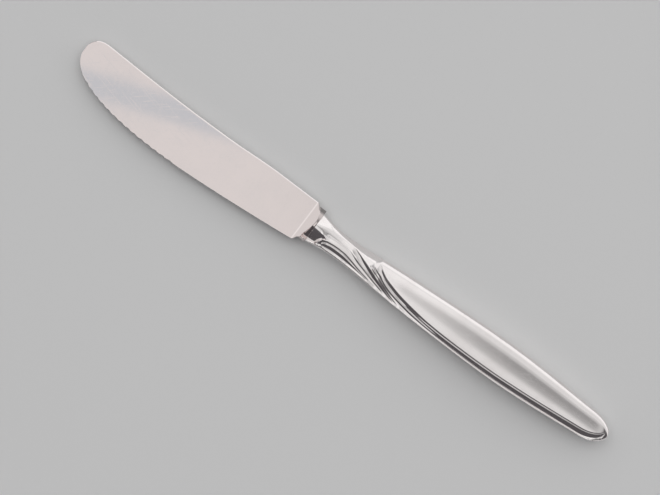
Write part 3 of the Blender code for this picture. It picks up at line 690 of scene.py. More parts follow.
def relief(x):
    """Places across the handle and depths under the plain oval, as arrays of (point, station)."""
    width = 2 * half_width(x)
    lines = border_lines(x) + petal_lines(x)
    places = line_places(width, lines)
    depths = line_depths(x, lines, places)
    turns = np.linspace(0, math.pi, LOBE_POINTS, endpoint=False)
    all_places = [places[0] * (1 - math.cos(turn)) / 2 for turn in turns]
    all_depths = [0 * x for _ in turns]
    for i, name in enumerate(LINES[:-1]):
        for t in np.linspace(0, 1, WIDE_BANDS.get(name, BAND_STEPS), endpoint=False):
            turn = t + ROUNDNESS * (ease(t) - t)
            all_places.append(between(places[i : i + 2], t))
            all_depths.append(between(depths[i : i + 2], turn))
    for turn in FLANK_TURNS:
        all_places.append(between((places[-1], width), math.sin(turn)))
        all_depths.append(depths[-1])
    return np.array(all_places), np.array(all_depths)


deepest = relief(handle_stations())[1].max()
print("deepest line under the plain oval:", round(deepest / MM, 2), "mm")

# %% [markdown]
# The inside of the shell is a plain oval hollow, which the cement fills. It is not seen, so a few points do.

# %% Hollow of a shell
INNER_POINTS = 9
SHELL_WALL = 0.0009
SHELL_LAND = 0.00125
CAVITY_NECK_END = 0.0240
CAVITY_END = 0.0120
# the hollow's half width is at least the shell's divided by this
CAVITY_PARTS = 4


def cavity_size(x):
    """Half width and half height of the hollow, which closes before the tail."""
    open_share = tail_round(x, HANDLE_LENGTH - CAVITY_END)
    grown = ease_over(x, (CAVITY_NECK_END, SHOULDER_AT))
    wide = (between((half_width(NECK_AT), half_width(x)), grown) - SHELL_LAND) * open_share
    high = (between((half_height(NECK_AT), half_height(x)), grown) - SHELL_WALL) * open_share
    return np.maximum(wide, half_width(x) / CAVITY_PARTS), np.maximum(high, 0)


print("hollow at the belly, half width and half height:", np.round(cavity_size(BELLY_AT), 5))

# %% [markdown]
# Now the sections can be put together: the relief, cut down by the facet, the scoop and the neck's back,
# then the hollow. The back shell is the front one mirrored. How deep a point lies under the plain oval is
# kept as an attribute, because the deep places get tarnish and painted shade.

# %% Make the half shells
RIM_POWER = 4.0
SCOOP_ROUND = 0.00025
SCOOP_BROW = 0.0002


def make_shell(name, side):
    """One half shell, on side 1 for the front or -1 for the back."""
    x = handle_stations()
    wide = half_width(x)
    places, depths = relief(x)
    y = axis_y(x) + wide - places
    z = plain_z(x, places) - depths
    z[-FLANK_POINTS:] = z[-FLANK_POINTS] * superellipse(np.sin(FLANK_TURNS[:, None]), RIM_POWER)
    up = 2 * wide - places
    z = soft_lower(z, facet_z(x, up), SCOOP_ROUND)
    z = soft_lower(z, scoop_z(x, up), SCOOP_BROW)
    z = np.maximum(soft_lower(z, back_z(x, up), SCOOP_ROUND), SHELL_FACE)
    inner_wide, inner_high = cavity_size(x)
    turns = np.linspace(0, math.pi, INNER_POINTS)[:, None]
    y = np.concatenate([y, axis_y(x) - inner_wide * np.cos(turns)])
    z = np.concatenate([z, np.maximum(SHELL_FACE, inner_high * np.sin(turns))])
    points = np.stack([np.broadcast_to(x, y.shape), y, side * z], axis=2)
    shell = loft(name, points.transpose(1, 0, 2))
    recess = np.zeros(y.shape)
    recess[: len(depths)] = plain_z(x, places) - z[: len(depths)]
    keep_attribute(shell, "recess", recess.T.ravel())
    return shell


front_shell = make_shell("front_shell_skin", 1)
back_shell = make_shell("back_shell_skin", -1)
print("half shells:", triangles(front_shell), "triangles each")

# %% [markdown]
# ## Brazed seam
# Silver solder joins the half shells. It shows as a hairline along both narrow sides of the handle. A
# bevelled curve could stand for it, but it would be round. A loft that goes round the tail with four
# points to a section keeps it flush with both shells.


# %% Seam strip
def make_seam(name):
    x = handle_stations()
    inner_length = HANDLE_LENGTH - SHELL_LAND
    inner_x = JOINT_GAP + (x - JOINT_GAP) * inner_length / HANDLE_LENGTH
    inner_wide = np.maximum(taper_width(inner_x) - SHELL_LAND, 0) * tail_round(inner_x, inner_length)
    half = SHELL_FACE
    rings = []
    for side in (1, -1):
        outer = np.stack([x, axis_y(x) + side * half_width(x)], axis=1)
        inner = np.stack([inner_x, axis_y(inner_x) + side * inner_wide], axis=1)
        # the spine's side is walked to the tail, and the edge side back from it
        for (ox, oy), (ix, iy) in zip(outer[::side], inner[::side]):
            rings.append([(ox, oy, half), (ox, oy, -half), (ix, iy, -half), (ix, iy, half)])
    return loft(name, rings)


seam = make_seam("seam_hairline")
print("seam:", triangles(seam), "triangles")

# %% [markdown]
# ## Blade, heel, bolster and tang
# They are one forging. The blade is a flat wedge that thins to the tip and to the edge. At the heel a
# ground ramp rises from each face to an oval bolster, which closes the handle's mouth; the tang goes on
# into the handle. Separate pieces joined by booleans would show seams that the real one hasn't got. One loft
# makes it all: a section is the lower of two forms, the ground faces and the oval, joined by a small radius.

# %% Blade outline
BLADE_LENGTH = 0.0917
BLADE_SPINE_Y = 0.0071
BLADE_HEEL_Y = -0.0072
BLADE_BELLY_Y = -0.0112
SPINE_DIP = 0.0011
SPINE_DIP_SHARES = ((0.0, 0.0), (0.20, 0.0), (0.42, 0.80), (0.60, 1.0), (1.0, 0.35))
TIP_Y = 0.0013
TIP_TOP_LENGTH = 0.0063
TIP_BELLY_LENGTH = 0.0378
TIP_ROUNDNESS = 2.4
EDGE_RISE_POWER = 1.4
BOLSTER_LENGTH = 0.0025
HEEL_RAMP = 0.0013
HEEL_CREASE = BOLSTER_LENGTH + HEEL_RAMP
BOLSTER_SPINE_STEP = 0.0013
BOLSTER_EDGE_STEP = 0.0004
BOLSTER_TOP_Y = MOUTH_WIDTH / 2 + BOLSTER_SPINE_STEP
BOLSTER_LOW_Y = -MOUTH_WIDTH / 2 - BOLSTER_EDGE_STEP


def spine_y(x):
    """Spine: level at the heel, slightly hollow along the middle, round at the tip."""
    line = BLADE_SPINE_Y - SPINE_DIP * curve_through(SPINE_DIP_SHARES, -x / BLADE_LENGTH)
    inside = np.maximum(0, (TIP_TOP_LENGTH - BLADE_LENGTH - x) / TIP_TOP_LENGTH)
    blade = TIP_Y + (line - TIP_Y) * superellipse(inside, TIP_ROUNDNESS)
    return blade + (BOLSTER_TOP_Y - blade) * ease((x + HEEL_CREASE) / HEEL_RAMP)


def edge_y(x):
    """Cutting edge before its scallops are ground."""
    belly_x = TIP_BELLY_LENGTH - BLADE_LENGTH
    inside = np.maximum(0, (belly_x - x) / TIP_BELLY_LENGTH)
    tip = TIP_Y + (BLADE_BELLY_Y - TIP_Y) * superellipse(inside, TIP_ROUNDNESS)
    share = np.clip((x - belly_x) / (-HEEL_CREASE - belly_x), 0, 1)
    blade = tip + (BLADE_HEEL_Y - BLADE_BELLY_Y) * share**EDGE_RISE_POWER
    return blade + (BOLSTER_LOW_Y - blade) * ease((x + HEEL_CREASE) / HEEL_RAMP)


print("blade's width half way:", (spine_y(-BLADE_LENGTH / 2) - edge_y(-BLADE_LENGTH / 2)).round(5))

# %% [markdown]
# The faces are ground flat, with a bevel along the edge. At the crease a narrow facet starts the ramp,
# which rises to the bolster.

# %% Ground faces
HEEL_THICKNESS = 0.0023
TIP_THICKNESS = 0.0012
FACE_TAPER = 0.03
EDGE_THICKNESS = 0.0002
EDGE_BEVEL = 0.00015
RAMP_STOP = 0.0006
CREASE_FACET = 0.0006
CREASE_FACET_SLOPE = 0.33
CREASE_ROUND = 0.0001
COLLAR_FALL = 0.25
BOLSTER_FACE_STEP = 0.0001
BOLSTER_HALF = MOUTH_THICKNESS / 2 + BOLSTER_FACE_STEP


def ramp_z(x):
    """Rise of the heel's ramp, which starts with a narrow facet at the crease."""
    half = CREASE_FACET / 2
    rise = BOLSTER_HALF + COLLAR_FALL * RAMP_STOP - HEEL_THICKNESS / 2 + FACE_TAPER * BLADE_SPINE_Y
    slope = (rise - CREASE_FACET_SLOPE * CREASE_FACET) / (HEEL_CREASE - RAMP_STOP - half)
    along = x + HEEL_CREASE
    facet = CREASE_FACET_SLOPE * (above(along + half, CREASE_ROUND) - above(along - half, CREASE_ROUND))
    return facet + slope * above(along - half, CREASE_ROUND)


def face_z(x, y):
    """Half thickness of the ground faces: thinner to tip and edge, with a bevel along the edge."""
    to_tip = (HEEL_THICKNESS - TIP_THICKNESS) / 2 / (BLADE_LENGTH - HEEL_CREASE)
    flat = HEEL_THICKNESS / 2 + to_tip * np.minimum(0, x + HEEL_CREASE) - FACE_TAPER * (BLADE_SPINE_Y - y)
    from_edge = np.clip((y - edge_y(x)) / EDGE_BEVEL, 0, 1)
    edge = EDGE_THICKNESS / 2
    return edge + (np.maximum(flat, edge) - edge) * from_edge + ramp_z(x)


print("half thickness of the blade half way:", face_z(-BLADE_LENGTH / 2, 0.0).round(5))

# %% [markdown]
# The bolster is an oval collar. The neck's scoop runs on over it, and on the spine side it has a steep flank.
# Where the ramp ends on it, grinding leaves a line shaped like a shield.

# %% Collar of the bolster
SHIELD = (
    (-6.8, -3.5), (-6.0, -2.7), (-4.7, -1.9), (-3.5, -1.4), (-1.9, -1.1), (-0.3, -0.8), (1.3, -0.65),
    (2.5, -0.65), (3.8, -1.1), (4.7, -1.7), (6.0, -2.5), (6.9, -3.3),
)
SHIELD_WALL = 2.5
COLLAR_FLANK = 2.2
BOLSTER_POWER = 2.6


def shield_x(y):
    """Where the ground ramp ends on the collar."""
    return np.interp(y / MM, *np.array(SHIELD).T) * MM


def collar_z(x, y, top, low):
    """The bolster's oval, cut by the neck's scoop and by a steep flank on the spine side."""
    middle, wide = (top + low) / 2, (top - low) / 2
    oval = (BOLSTER_HALF - COLLAR_FALL * x) * superellipse((y - middle) / wide, BOLSTER_POWER)
    oval = soft_lower(oval, scoop_z(0.0, y + MOUTH_WIDTH / 2), SCOOP_BROW)
    oval = np.minimum(oval, COLLAR_FLANK * (top - y))
    return oval + SHIELD_WALL * np.maximum(0, shield_x(y) - x)


print("the shield's nearest place to the mouth:", round(-max(x for _, x in SHIELD), 2), "mm")

# %% [markdown]
# A section is a ring of points, down the front face and up the back. Straight sections would cross the
# shield's line and leave steps along it, so on the ramp and the collar the rings bend with the shield.

# %% Rings of the forging
FACE_POINTS = 110
FACE_SHARES = np.cos(np.linspace(0, math.pi, FACE_POINTS))
SPINE_CHAMFER = 0.0004
SPINE_CHAMFER_SLOPE = 0.7
RAMP_BLEND = 0.0001
BOLSTER_EDGE_ROUND = 0.0002
RAMP_START = -HEEL_CREASE + CREASE_FACET / 2 + CREASE_ROUND
COLLAR_END = -BOLSTER_EDGE_ROUND
SHIELD_GAP = 0.0002
RING_FITS = 6


def two_faces(x, y, z):
    """A ring with the same points on the front and on the back."""
    front = np.stack([np.broadcast_to(x, y.shape), y, z], axis=1)
    return np.concatenate([front, front[::-1] * (1, 1, -1)])


def across(x):
    """Places from spine to edge."""
    top, low = spine_y(x), edge_y(x)
    return (top + low) / 2 + (top - low) / 2 * FACE_SHARES


def blade_ring(x):
    """Section of the forging, at one place or at one for each point."""
    top, low = spine_y(x), edge_y(x)
    y = across(x)
    ground = face_z(x, y) - SPINE_CHAMFER_SLOPE * np.maximum(0, SPINE_CHAMFER - (top - y))
    forged = soft_lower(ground, collar_z(x, y, top, low), RAMP_BLEND)
    bolster_share = ease((x + HEEL_CREASE) / HEEL_RAMP)
    return two_faces(x, y, np.maximum(between((ground, forged), bolster_share), 0))


def heel_ring(share):
    """A section bent with the shield. Share 0 is the ramp's start, 1 the shield and 2 the collar's end."""
    x = np.full(FACE_POINTS, RAMP_START)
    for _ in range(RING_FITS):
        shield = np.maximum(shield_x(across(x)), RAMP_START + SHIELD_GAP)
        if share < 1:
            x = between((RAMP_START, shield), share)
        else:
            x = between((shield, COLLAR_END), share - 1)
    return blade_ring(x)


def collar_ring(x, inset):
    """Section of the collar's rounded end against the handle."""
    ring = blade_ring(COLLAR_END)
    middle = ring.mean(axis=0)
    size = np.abs(ring - middle).max(axis=0)
    shrunk = middle + (ring - middle) * (1, 1 - inset / size[1], 1 - inset / size[2])
    return shrunk * (0, 1, 1) + (x, 0, 0)


print("thickness of the collar's end:", np.ptp(blade_ring(COLLAR_END)[:, 2]).round(5))

# %% [markdown]
# The tang is a plain bar that gets smaller towards its end. It is hidden in the handle. The rings stand close
# at the round tip, at the crease and at the shield's wall.

# %% Make the forging
TIP_SHARE = 0.06
TIP_RINGS = 60
BLADE_RINGS = 110
CREASE_START = -HEEL_CREASE - CREASE_FACET
CREASE_RINGS = 24
WALL_SHARE = 0.6
RAMP_RINGS = 10
WALL_RINGS = 36
COLLAR_RINGS = 24
MOUTH_RINGS = 6
TANG_LENGTH = 0.0580
TANG_WIDTH = 0.0038
TANG_THICKNESS = 0.0015
TANG_END_SHARE = 0.65
TANG_POWER = 3.0
TANG_RINGS = 12


def blade_stations():
    turns = np.linspace(TIP_SHARE, 0.5, TIP_RINGS, endpoint=False)
    tip = -BLADE_LENGTH + TIP_TOP_LENGTH * (1 - np.cos(math.pi * turns))
    blade = np.linspace(TIP_TOP_LENGTH - BLADE_LENGTH, CREASE_START, BLADE_RINGS)
    crease = np.linspace(CREASE_START, RAMP_START, CREASE_RINGS, endpoint=False)
    return np.concatenate([tip, blade, crease[1:]])


def tang_ring(x):
    size = 1 - (1 - TANG_END_SHARE) * max(0, x - NECK_AT) / (TANG_LENGTH - NECK_AT)
    y = axis_y(x) + size * TANG_WIDTH / 2 * FACE_SHARES
    return two_faces(x, y, size * TANG_THICKNESS / 2 * superellipse(FACE_SHARES, TANG_POWER))


def make_forging(name):
    rings = [blade_ring(x) for x in blade_stations()]
    ramp = np.linspace(0, WALL_SHARE, RAMP_RINGS, endpoint=False)
    wall = np.linspace(WALL_SHARE, 1, WALL_RINGS, endpoint=False)
    collar = np.linspace(1, 2, COLLAR_RINGS)
    rings += [heel_ring(share) for share in (*ramp, *wall, *collar)]
    for turn in np.linspace(0, math.pi / 2, MOUTH_RINGS)[1:]:
        inset = BOLSTER_EDGE_ROUND * (1 - math.cos(turn))
        rings.append(collar_ring(COLLAR_END * (1 - math.sin(turn)), inset))
    rings += [tang_ring(x) for x in np.linspace(0, TANG_LENGTH, TANG_RINGS)]
    return loft(name, rings)


blade = make_forging("forged_blade")
print("forging:", triangles(blade), "triangles")

# %% [markdown]
# ## Building node trees in a script
# Geometry trees and shader trees are both made of nodes and links. They could be drawn in Blender's node
# editor, but a script can be read and run again. These helpers add one node, set its options, and fill its
# inputs: a value is written on the input, and another node's output is linked.


# %% Node helpers
def fill(tree, node, inputs):
    """Write values on a node's inputs, and link outputs of other nodes to them."""
    for key, value in inputs.items():
        if isinstance(value, bpy.types.NodeSocket):
            tree.links.new(value, node.inputs[key])
        else:
            node.inputs[key].default_value = value


def add(tree, kind, inputs=None, **options):
    """A new node, with its options set and its inputs filled."""
    made = tree.nodes.new(kind)
    for option, value in options.items():
        setattr(made, option, value)
    fill(tree, made, inputs or {})
    return made


def math_node(tree, operation, *values):
    return add(tree, "ShaderNodeMath", dict(enumerate(values)), operation=operation).outputs[0]


def vector_node(tree, operation, *values):
    return add(tree, "ShaderNodeVectorMath", dict(enumerate(values)), operation=operation).outputs[0]


def scaled(tree, vector, factor):
    return add(tree, "ShaderNodeVectorMath", {0: vector, "Scale": factor}, operation="SCALE").outputs[0]


def downward(tree, length):
    """A vector of some length that points down."""
    return add(tree, "ShaderNodeCombineXYZ", {"Z": math_node(tree, "MULTIPLY", length, -1.0)}).outputs[0]


# %% [markdown]
# ## Scallops of the edge
# The front half of the edge is scalloped for cutting cake and fruit. A narrow grinding wheel is pressed
# against the back of the edge, once for each tooth, so the front shows only the scalloped line and the
# back shows the short flutes. The teeth could be cut one by one, but fourteen equal cuts are a job for
# Geometry Nodes: points along a guide curve, a wheel on each point, and one boolean that takes them all out
# of the blade.

# %% Guide curve along the edge
TOOTH_COUNT = 14
TOOTH_PITCH = 0.00274
TOOTH_DEPTH = 0.00035
TEETH_FROM_TIP = 0.0060
GUIDE_STEPS = 200
# share of a pitch by which the guide stops before the end of the last tooth, just past its middle
GUIDE_STOP = 0.45


def make_guide(name):
    """A chain of edges through the bottoms of the teeth, on the front face."""
    first = TEETH_FROM_TIP - BLADE_LENGTH
    x = np.linspace(first, first + TOOTH_COUNT * TOOTH_PITCH, GUIDE_STEPS)
    y = edge_y(x) + TOOTH_DEPTH
    points = np.stack([x, y, face_z(x, y)], axis=1)
    length = np.concatenate([[0], np.cumsum(np.linalg.norm(np.diff(points, axis=0), axis=1))])
    wanted = np.linspace(TOOTH_PITCH / 2, (TOOTH_COUNT - GUIDE_STOP) * TOOTH_PITCH, GUIDE_STEPS)
    points = np.stack([np.interp(wanted, length, axis) for axis in points.T], axis=1) + mouth
    return new_piece(name, points, [(i, i + 1) for i in range(GUIDE_STEPS - 1)], [])


guide = make_guide("tooth_guide")
print("guide curve:", len(guide.data.vertices), "points for", TOOTH_COUNT, "teeth")

# %% [markdown]
# The wheel leans by the tilt angle, so it meets the front face in a line and opens towards the back. Its
# axis points inwards and down, and its centre lies one radius away from the tooth's bottom.

# %% Geometry nodes that grind the teeth
WHEEL_SIZES = {"Pitch": TOOTH_PITCH, "Radius": 0.0048, "Width": 0.0060, "Tilt": math.radians(34)}
WHEEL_VERTICES = 192


def wheels_on_guide(tree, given):
    """Nodes that set a leaning wheel on each point of the guide."""
    source = add(tree, "GeometryNodeObjectInfo", {"Object": given["Guide"]})
    curve = add(tree, "GeometryNodeMeshToCurve", {"Mesh": source.outputs["Geometry"]})
    spaced = {"Curve": curve.outputs[0], "Length": given["Pitch"]}
    points = add(tree, "GeometryNodeCurveToPoints", spaced, mode="LENGTH").outputs
    square = vector_node(tree, "CROSS_PRODUCT", (0, 0, 1), points["Tangent"])
    inward = vector_node(tree, "NORMALIZE", square)
    sine = math_node(tree, "SINE", given["Tilt"])
    cosine = math_node(tree, "COSINE", given["Tilt"])
    axis = vector_node(tree, "ADD", scaled(tree, inward, cosine), downward(tree, sine))
    outward = vector_node(tree, "SUBTRACT", downward(tree, cosine), scaled(tree, inward, sine))
    centres = {"Geometry": points["Points"], "Offset": scaled(tree, outward, given["Radius"])}
    moved = add(tree, "GeometryNodeSetPosition", centres)
    sizes = {"Vertices": WHEEL_VERTICES, "Radius": given["Radius"], "Depth": given["Width"]}
    wheel = add(tree, "GeometryNodeMeshCylinder", sizes)
    lean = add(tree, "FunctionNodeAlignRotationToVector", {"Vector": axis}, axis="Z")
    placed = {"Points": moved.outputs[0], "Instance": wheel.outputs["Mesh"], "Rotation": lean.outputs[0]}
    return add(tree, "GeometryNodeInstanceOnPoints", placed).outputs[0]


def grinding_tree(name, sizes):
    """Geometry nodes: wheels on a guide curve, taken out of the incoming blade."""
    tree = bpy.data.node_groups.new(name, "GeometryNodeTree")
    sockets = {"Geometry": "Geometry", "Guide": "Object", "Material": "Material"}
    sockets.update({size: "Float" for size in sizes})
    for label, kind in sockets.items():
        tree.interface.new_socket(label, in_out="INPUT", socket_type="NodeSocket" + kind)
    tree.interface.new_socket("Geometry", in_out="OUTPUT", socket_type="NodeSocketGeometry")
    given = add(tree, "NodeGroupInput").outputs
    wheels = wheels_on_guide(tree, given)
    meshes = {"Mesh 1": given["Geometry"], "Mesh 2": wheels, "Self Intersection": True}
    cut = add(tree, "GeometryNodeMeshBoolean", meshes, operation="DIFFERENCE", solver="EXACT")
    real = add(tree, "GeometryNodeRealizeInstances", {"Geometry": cut.outputs["Mesh"]})
    surface = {"Geometry": real.outputs[0], "Material": given["Material"]}
    shaded = add(tree, "GeometryNodeSetMaterial", surface)
    add(tree, "NodeGroupOutput", {"Geometry": shaded.outputs[0]})
    return tree


grinding = grinding_tree("grinding_wheels", WHEEL_SIZES)
print("grinding tree:", len(grinding.nodes), "nodes")

# %% [markdown]
# The tree runs as a modifier on the blade. Its inputs are set by their identifiers. A live modifier would be
# worked out again at every change, so the result is kept as a plain mesh, and modifier and guide are removed.

# %% Grind the teeth and keep the plain mesh
BLADE_SHARP_ANGLE = math.radians(20)
steel = bpy.data.materials.new("satin_steel")
grind = blade.modifiers.new("grind", "NODES")
grind.node_group = grinding
settings = {"Guide": guide, "Material": steel, **WHEEL_SIZES}
for item in grinding.interface.items_tree:
    if item.name in settings:
        grind[item.identifier] = settings[item.name]
ready = bpy.context.evaluated_depsgraph_get()
ground_mesh = bpy.data.meshes.new_from_object(blade.evaluated_get(ready))
blade.modifiers.remove(grind)
blade.data = ground_mesh
bpy.data.objects.remove(guide)
shade(blade.data, BLADE_SHARP_ANGLE)
print("ground blade:", triangles(blade), "triangles")

# %% [markdown]
# ## Painted highlight and painted shade on the blade
# The spine, the crease at the heel and the plain part of the edge are painted a little lighter, as a painted
# highlight. Such a look could come from the mesh's curvature, but that would also find the teeth. The
# distance to the lines themselves is kept as a point attribute for the material. A second one marks the
# corner behind the heel, which is painted darker, as painted shade. A second one
# marks the corner behind the heel, where soil stays.

# %% Painted highlight and painted shade of the blade
SPINE_HIGHLIGHT = 0.00045
EDGE_HIGHLIGHT = 0.0003
CREASE_HIGHLIGHT = 0.0004
CREASE_HIGHLIGHT_SHARE = 0.25
# where the painted shade behind the heel starts, and over which length it fades
PAINTED_SHADE_FROM_Y = 0.0045
PAINTED_SHADE_FADE = 0.0007
MARKED = 0.5


def mark_painted_light(piece):
    """Painted highlight on the edges and painted shade behind the heel, as attributes from 0 to 1."""
    corners = np.array([v.co for v in piece.data.vertices]) - mouth
    x, y = corners[:, 0], corners[:, 1]
    first_tooth = TEETH_FROM_TIP - BLADE_LENGTH
    plain_edge = (x < first_tooth) | (x > first_tooth + TOOTH_COUNT * TOOTH_PITCH)
    # painted highlight: spine, plain edge and crease are made lighter in colour
    spine = 1 - ease((spine_y(x) - y) / SPINE_HIGHLIGHT)
    edge = (1 - ease((y - edge_y(x)) / EDGE_HIGHLIGHT)) * plain_edge
    crease = CREASE_HIGHLIGHT_SHARE * (1 - ease(np.abs(x + HEEL_CREASE) / CREASE_HIGHLIGHT))
    painted_highlight = np.maximum(np.maximum(spine, edge) * (x < -HEEL_CREASE), crease)
    # painted shade: the corner behind the heel, past the shield, is made darker in colour
    painted_shade = ease((x - shield_x(y)) / PAINTED_SHADE_FADE) * ease((y - PAINTED_SHADE_FROM_Y) / PAINTED_SHADE_FADE)
    keep_attribute(piece, "painted_highlight", painted_highlight)
    keep_attribute(piece, "painted_shade", painted_shade)
    return painted_highlight, painted_shade


painted, painted_dark = mark_painted_light(blade)
print("points rubbed bright:", int((painted > MARKED).sum()), "and soiled:", int((painted_dark > MARKED).sum()))

# %% [markdown]
# ## Surface effects that several materials share
# Polished metal is never perfect. Two effects come back on steel, silver and solder: hairlines from cloths
# and cutlery drawers, thin and long in three directions, and a cloudy haze from handling that makes the
# polish uneven. They could be built anew in each material, but as node groups they are made once, and each
# material only sets their values.

# %% Shared node groups
HAIRLINE_TURNS = (0.35, -0.60, 1.25)
HAIRLINE_LEVELS = (0.66, 0.74)
HAZE_LEVELS = (0.35, 0.70)


def effect_group(name, inputs, output):
    """An empty shader node group with named inputs and one value as output."""
    tree = bpy.data.node_groups.new(name, "ShaderNodeTree")
    for label, kind, value in inputs:
        made = tree.interface.new_socket(label, in_out="INPUT", socket_type="NodeSocket" + kind)
        made.default_value = value
    tree.interface.new_socket(output, in_out="OUTPUT", socket_type="NodeSocketFloat")
    return tree, add(tree, "NodeGroupInput").outputs


def ramp(tree, value, low, high):
    """0 below one value, 1 above another, with a soft change."""
    inputs = {"Value": value, "From Min": low, "From Max": high}
    return add(tree, "ShaderNodeMapRange", inputs, interpolation_type="SMOOTHSTEP").outputs[0]


def noise(tree, vector, **inputs):
    return add(tree, "ShaderNodeTexNoise", {"Vector": vector, **inputs}).outputs[0]


def make_hairlines():
    inputs = (("Vector", "Vector", (0, 0, 0)), ("Stretch", "Vector", (90, 7000, 7000)), ("Turn", "Float", 0))
    tree, given = effect_group("hairlines", inputs, "Lines")
    lines = None
    for turn in HAIRLINE_TURNS:
        angle = math_node(tree, "ADD", given["Turn"], turn)
        rotation = add(tree, "ShaderNodeCombineXYZ", {"Z": angle}).outputs[0]
        turned = add(tree, "ShaderNodeMapping", {"Vector": given["Vector"], "Rotation": rotation}).outputs[0]
        long = vector_node(tree, "MULTIPLY", turned, given["Stretch"])
        line = ramp(tree, noise(tree, long, Scale=1.0, Detail=1.0), *HAIRLINE_LEVELS)
        lines = math_node(tree, "MAXIMUM", lines, line) if lines else line
    add(tree, "NodeGroupOutput", {"Lines": lines})
    return tree


def make_haze():
    inputs = (("Vector", "Vector", (0, 0, 0)), ("Size", "Float", 0.006))
    tree, given = effect_group("handling_haze", inputs, "Haze")
    scale = math_node(tree, "DIVIDE", 1.0, given["Size"])
    clouds = noise(tree, given["Vector"], Scale=scale, Detail=4.0, Roughness=0.6)
    add(tree, "NodeGroupOutput", {"Haze": ramp(tree, clouds, *HAZE_LEVELS)})
    return tree


hairlines = make_hairlines()
haze = make_haze()
print("shared effects:", hairlines.name, "and", haze.name)

# %% [markdown]
# ## Material helpers
# Every material starts the same way, with a Principled shader and the object's own coordinates in metres, and
# ends the same way, with a colour, a roughness and a height that bumps the surface. Image textures would
# need an unwrapped mesh and show their pixels up close, so all patterns are worked out from the coordinates.


# %% Material helpers
def start_material(material, metallic):
    """Clear the nodes and return the tree, its shader and the object coordinates."""
    material.use_nodes = True
    tree = material.node_tree
    tree.nodes.clear()
    shader = add(tree, "ShaderNodeBsdfPrincipled", {"Metallic": metallic})
    add(tree, "ShaderNodeOutputMaterial", {"Surface": shader.outputs[0]})
    return tree, shader, add(tree, "ShaderNodeTexCoord").outputs["Object"]


def set_surface(tree, shader, colour, roughness, height, bump_depth):
    bump = add(tree, "ShaderNodeBump", {"Height": height, "Distance": bump_depth})
    fill(tree, shader, {"Base Color": colour, "Roughness": roughness, "Normal": bump.outputs[0]})


def effect(tree, group, **inputs):
    return add(tree, "ShaderNodeGroup", inputs, node_tree=group).outputs[0]


def attribute(tree, name):
    return add(tree, "ShaderNodeAttribute", attribute_name=name).outputs["Fac"]


def blend(tree, share, first, second):
    """Colours mixed by a share; the Mix node has the share on socket 0 and the colours on 6 and 7."""
    return add(tree, "ShaderNodeMix", {0: share, 6: first, 7: second}, data_type="RGBA").outputs[2]


def mapped(tree, value, low, high):
    """A share from 0 to 1 turned into a value between two others."""
    return add(tree, "ShaderNodeMapRange", {"Value": value, "To Min": low, "To Max": high}).outputs[0]


# %% [markdown]
# ## Steel
# The blade is stainless steel, ground across and then polished. A plain metal shader would look like chrome.
# This one keeps a trace of the grinding lines, which run from spine to edge, and gets long wiping marks,
# a painted highlight along the edges and painted shade in the corner behind the heel.

# %% Steel
STEEL = (0.74, 0.668, 0.652, 1)
STEEL_SHADE = (0.70, 0.640, 0.628, 1)
# light colour of the painted highlight along the edges
STEEL_PAINTED_HIGHLIGHT = (0.88, 0.84, 0.83, 1)
# dark colour of the painted shade in the corner behind the heel
STEEL_PAINTED_SHADE = (0.30, 0.28, 0.275, 1)
STEEL_POLISH = (0.030, 0.045)
WIPING_DULLS = 0.06
GRINDING_STRETCH = (9000, 160, 160)
STEEL_BUMP = 0.0000004
tree, shader, place = start_material(steel, 1.0)
grinding_marks = noise(tree, vector_node(tree, "MULTIPLY", place, GRINDING_STRETCH), Scale=1.0, Detail=2.0)
lines = effect(tree, hairlines, Vector=place, Stretch=(60, 6000, 6000), Turn=-0.1)
clouds = effect(tree, haze, Vector=place, Size=0.012)
tint = blend(tree, math_node(tree, "MULTIPLY", grinding_marks, clouds), STEEL, STEEL_SHADE)
# painted highlight: the marked edges get a lighter colour
highlighted = blend(tree, attribute(tree, "painted_highlight"), tint, STEEL_PAINTED_HIGHLIGHT)
# painted shade: the corner behind the heel gets a dark colour
colour = blend(tree, attribute(tree, "painted_shade"), highlighted, STEEL_PAINTED_SHADE)
polish = math_node(tree, "ADD", mapped(tree, clouds, *STEEL_POLISH), mapped(tree, lines, 0.0, WIPING_DULLS))
set_surface(tree, shader, colour, polish, math_node(tree, "SUBTRACT", grinding_marks, lines), STEEL_BUMP)
print("steel:", len(tree.nodes), "nodes")

# %% [markdown]
# ## Silver plate
# The half shells are nickel silver under a thick silver plate. The crests are rubbed bright, and the deep
# parts keep a little brown tarnish, which is also painted shade. Ambient occlusion could find the deep
# parts, but it depends on the neighbours. How deep the ornament lies under the plain oval is already kept
# as an attribute.

# %% Silver plate
SILVER = (0.93, 0.89, 0.88, 1)
SILVER_CLOUDED = (0.90, 0.855, 0.845, 1)
# colour of the tarnish and painted shade in the deep places
SILVER_TARNISH_AND_SHADE = (0.70, 0.645, 0.62, 1)
TARNISH_AND_SHADE_DEPTHS = (0.0003, 0.0022)
SILVER_POLISH = (0.115, 0.145)
CLOTH_DULLS = 0.12
TARNISH_DULLS = 0.08
SILVER_BUMP = 0.000001
silver = bpy.data.materials.new("silver_plate")
tree, shader, place = start_material(silver, 1.0)
lines = effect(tree, hairlines, Vector=place, Stretch=(80, 6500, 6500), Turn=0.15)
clouds = effect(tree, haze, Vector=place, Size=0.007)
